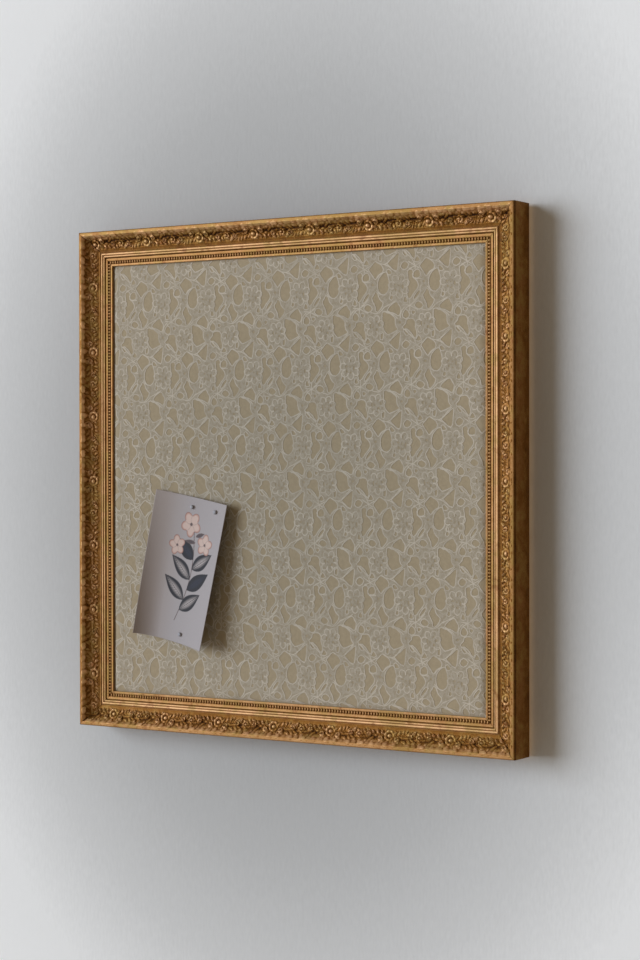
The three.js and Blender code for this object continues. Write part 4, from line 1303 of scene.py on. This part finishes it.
for side in ("left", "right"):
    place, radius, *ends = round_box(f"hanger_nail_{side}")
    tip, top = (end / MM for end in ends)
    seat = top - NAIL_HEAD
    shank = [(0, tip), (NAIL_RADIUS, tip + 2 * NAIL_RADIUS), (NAIL_RADIUS, seat), (radius, seat)]
    head = arc((0, seat + NAIL_HEAD / 3), (radius, 2 * NAIL_HEAD / 3), 0, pi / 2, 6)
    nail = mesh_object(f"round_nail_{side}", turned(shank + head[:-1] + [(0, top)], place), bright_steel)
    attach(nail, "frame")
    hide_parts(f"hanger_nail_{side}")
    place, radius, front, back = round_box(f"wall_bumper_{side}")
    place.y = front
    height = (back - front) / MM
    dome_edge = arc((BUMPER_FACE, height / 2), (radius - BUMPER_FACE, height / 2), 0, pi / 2, 8)
    bm = turned([(0, 0), (radius, 0), *dome_edge, (0, height)], place)
    bumper = mesh_object(f"felt_bumper_{side}", bm, brown_felt)
    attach(bumper, "frame")
    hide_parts(f"wall_bumper_{side}")

# Card
# Smooth card stock with a printed sprig, curled by damp so that it only touches the lace along
# one line left of its middle. Three pins go through it.
CARD_WIDTH = 92
CARD_HEIGHT = 145
CARD_THICKNESS = 0.5
CARD_TILT = 9.6
CARD_CONTACT = 27.6
CARD_PLACE = (-142, -86)
CARD_GAP = 0.3
CARD_LEAN = 3.5
CURL_LEFT = (2.5, 10)
CURL_RIGHT = (7.5, 14.5)
CARD_STEPS = (174, 274)
LACE_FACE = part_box("lace_cover")[0].y / MM
STEM_TOP = 28
STEM_LENGTH = 96
STEM_AT = 52
STEM_BOW = 9
STEM_LEAN = 8
STEM_HALF = 0.45
PRINTED_LEAVES = (0.34, 0.44, 0.55, 0.66, 0.77, 0.88)
PRINTED_LEAF_WIDTH = 15
SEPALS = (((53, 31), (44, 22)), ((56, 38), (68, 33)), ((57, 44), (42, 44)))
SEPAL_WIDTH = 4.5
BLOSSOMS = (((48, 27), 12, 0.3), ((70, 44), 10, 1.0), ((34, 50), 9.5, 0.7))


def ink(red, green, blue):
    return np.array(tint(red, green, blue)[:3])


PAPER = ink(160, 153, 154)
# Painted shade: a warmer, darker paper along the card's left edge, giving way to the plain paper between
# these distances from that edge, in mm.
PAPER_SHADED = ink(158, 147, 143)
SHADED_EDGE_RUN = (14, 30)
INK_BLACK = ink(24, 20, 26)
INK_BLUE = ink(40, 42, 58)
INK_CREAM = ink(188, 178, 176)
INK_PEACH = ink(196, 172, 162)
INK_RUST = ink(158, 104, 88)
INK_BROWN = ink(92, 76, 74)


def card_point(u, v):
    """Where a place on the flat card lies, u from its left edge and v from its top edge, in mm."""
    down = v / CARD_HEIGHT
    near, far = CURL_LEFT if u < CARD_CONTACT else CURL_RIGHT
    reach = CARD_CONTACT if u < CARD_CONTACT else CARD_WIDTH - CARD_CONTACT
    curl = near + (far - near) * down
    away = abs(u - CARD_CONTACT)
    bend = 2 * curl / reach ** 2
    across = (away * sqrt(1 - (bend * away) ** 2) + asin(bend * away) / bend) / 2
    height = CARD_GAP + CARD_THICKNESS + CARD_LEAN * down + curl * (away / reach) ** 2
    flat = Vector((across if u > CARD_CONTACT else -across, CARD_HEIGHT / 2 - v))
    flat.rotate(Matrix.Rotation(-radians(CARD_TILT), 2))
    return Vector((flat.x + CARD_PLACE[0], LACE_FACE - height, flat.y + CARD_PLACE[1]))


def cover_ratio(distance, blur=0.35):
    return np.clip(0.5 + distance / blur, 0, 1)[:, None]


def print_leaf(picture, u, v, foot, tip, width, edge, heart):
    """Prints a pointed leaf with a dark edge, a lighter heart and fine veins."""
    over, down = tip[0] - foot[0], tip[1] - foot[1]
    length = hypot(over, down)
    along, aside = along_aside(u - foot[0], v - foot[1], atan2(down, over))
    half = width / 2 * np.sin(pi * climb(along, 0, length) ** 0.8)
    inside = cover_ratio(half - np.abs(aside) - 0.1) * ((along > 0) & (along < length))[:, None]
    pale = np.clip((0.6 * half - np.abs(aside)) / (0.22 * width), 0, 1)
    pale = pale * (0.65 + 0.35 * np.cos(2 * pi * (along - 1.2 * np.abs(aside)) / 2.4))
    colour = edge + pale[:, None] * (heart - edge)
    picture += inside * (colour - picture)
    picture += cover_ratio(0.2 - np.abs(aside)) * inside * (edge - picture)


def print_blossom(picture, u, v, centre, size, turn):
    """Prints a five-petalled blossom, pale at the heart and rust at the rim."""
    half_long, half_wide = 0.5 * size, 0.4 * size
    for k in range(5):
        along, aside = along_aside(u - centre[0], v - centre[1], turn + 2 * pi * k / 5)
        out = along - 0.58 * size
        reach = np.sqrt((out / half_long) ** 2 + (aside / half_wide) ** 2)
        rim = climb(reach, 0.6, 0.4) * (out > 0)
        veins = 0.12 * np.cos(aside * 5.5) * (reach < 0.9)
        colour = INK_PEACH + (rim + veins)[:, None] * (INK_RUST - INK_PEACH)
        picture += cover_ratio((1 - reach) * half_wide) * (colour - picture)
        outline = 0.7 * cover_ratio(0.14 - np.abs(1 - reach) * half_wide)
        picture += outline * (INK_BROWN - picture)
    heart = cover_ratio(0.14 * size - np.hypot(u - centre[0], v - centre[1]))
    picture += heart * (INK_BROWN - picture)


def print_and_shade_card(u, v):
    """The printed card: one upright spray of dark leaves with three pale blossoms, on paper with painted
    shade along its left edge.
    """

    def stem_at(share):
        return STEM_AT + STEM_BOW * np.sin(pi * share) - STEM_LEAN * share

    # Painted warm shade on the left strip of the card.
    picture = PAPER_SHADED + climb(u, *SHADED_EDGE_RUN)[:, None] * (PAPER - PAPER_SHADED)
    on_stem = (v > STEM_TOP) & (v < STEM_TOP + STEM_LENGTH)
    from_stem = np.abs(u - stem_at(climb(v, STEM_TOP, STEM_LENGTH)))
    picture += cover_ratio(STEM_HALF - from_stem) * on_stem[:, None] * (INK_BROWN - picture)
    for k, share in enumerate(PRINTED_LEAVES):
        hand = 1 if k % 2 else -1
        foot = (stem_at(share), STEM_TOP + STEM_LENGTH * share)
        reach = 20 + 8 * sin(pi * (share - 0.2))
        tip = (foot[0] + hand * reach, foot[1] - 0.75 * reach)
        heart = INK_CREAM if k % 3 else INK_BLUE
        print_leaf(picture, u, v, foot, tip, PRINTED_LEAF_WIDTH, INK_BLACK, heart)
    for foot, tip in SEPALS:
        print_leaf(picture, u, v, foot, tip, SEPAL_WIDTH, INK_BROWN, INK_BLUE)
    for centre, size, turn in BLOSSOMS:
        print_blossom(picture, u, v, centre, size, turn)
    return picture


card_stock, stock = new_material("card_stock")
fibres = stock.noise(900, 4)
finish(
    card_stock,
    # The colour attribute holds the print and the painted shade of the left strip.
    Base_Color=stock.attribute("print", "Color"),
    Specular_IOR_Level=0.2,
    Roughness=0.55 + fibres * 0.1,
    Normal=fibres.bump(0.04 * MM, 0.4),
)
bm = bmesh.new()
print_and_shade_layer = bm.verts.layers.float_color.new("print")
bmesh.ops.create_grid(bm, x_segments=CARD_STEPS[0], y_segments=CARD_STEPS[1], size=1)
flat_card = np.array([v.co for v in bm.verts])
card_u = (flat_card[:, 0] + 1) / 2 * CARD_WIDTH
card_v = (1 - flat_card[:, 1]) / 2 * CARD_HEIGHT
for vert, u, v, colour in zip(bm.verts, card_u, card_v, print_and_shade_card(card_u, card_v)):
    vert[print_and_shade_layer] = (*colour, 1)
    vert.co = card_point(u, v) * MM + Vector((0, 0, MIDDLE))
smooth_faces(bm)
card = mesh_object("curled_card", bm, card_stock)
thickness = card.modifiers.new("thickness", "SOLIDIFY")
thickness.thickness = CARD_THICKNESS * MM
thickness.offset = -1
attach(card, "card")
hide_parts("card")

# Pins
# Three short pins with low domed heads of grey steel hold the card. Each needle goes through the
# cloths and the wadding into the core.
PIN_RIM = 0.4
PIN_FLATNESS = 0.6
PIN_EASE = 0.1
HEAD_STEPS = 8
NEEDLE_RADIUS = 0.5
NEEDLE_TAPER = 2
POINT_RADIUS = 0.3
POINT_LENGTH = 0.8
pin_steel, steel = new_material("pin_steel")
cloudy = steel.noise(1500, 2)
finish(
    pin_steel,
    Base_Color=cloudy.mix(tint(146, 145, 150), tint(162, 161, 166)),
    Metallic=0.25,
    Specular_IOR_Level=0.3,
    Roughness=0.62 + cloudy * 0.12,
)

for number in (1, 2, 3):
    place, radius, front, back = round_box(f"pin_head_{number}")
    place.y = front
    height = (back - front) / MM
    needle = (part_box(f"pin_needle_{number}")[1].y - front) / MM
    profile = [(0, 0)]
    for k in range(1, HEAD_STEPS + 1):
        angle = k * pi / 2 / HEAD_STEPS
        fall = 1 - max(cos(angle), 0) ** PIN_FLATNESS
        profile.append((radius * sin(angle) ** PIN_FLATNESS, (height - PIN_RIM) * fall))
    profile += [(radius, height - PIN_EASE), (radius - PIN_EASE, height), (NEEDLE_RADIUS, height)]
    profile += [(NEEDLE_RADIUS, needle - NEEDLE_TAPER), (POINT_RADIUS, needle - POINT_LENGTH), (0, needle)]
    pin = mesh_object(f"steel_pin_{number}", turned(profile, place), pin_steel)
    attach(pin, f"pin_{number}")
    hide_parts(f"pin_head_{number}", f"pin_needle_{number}")
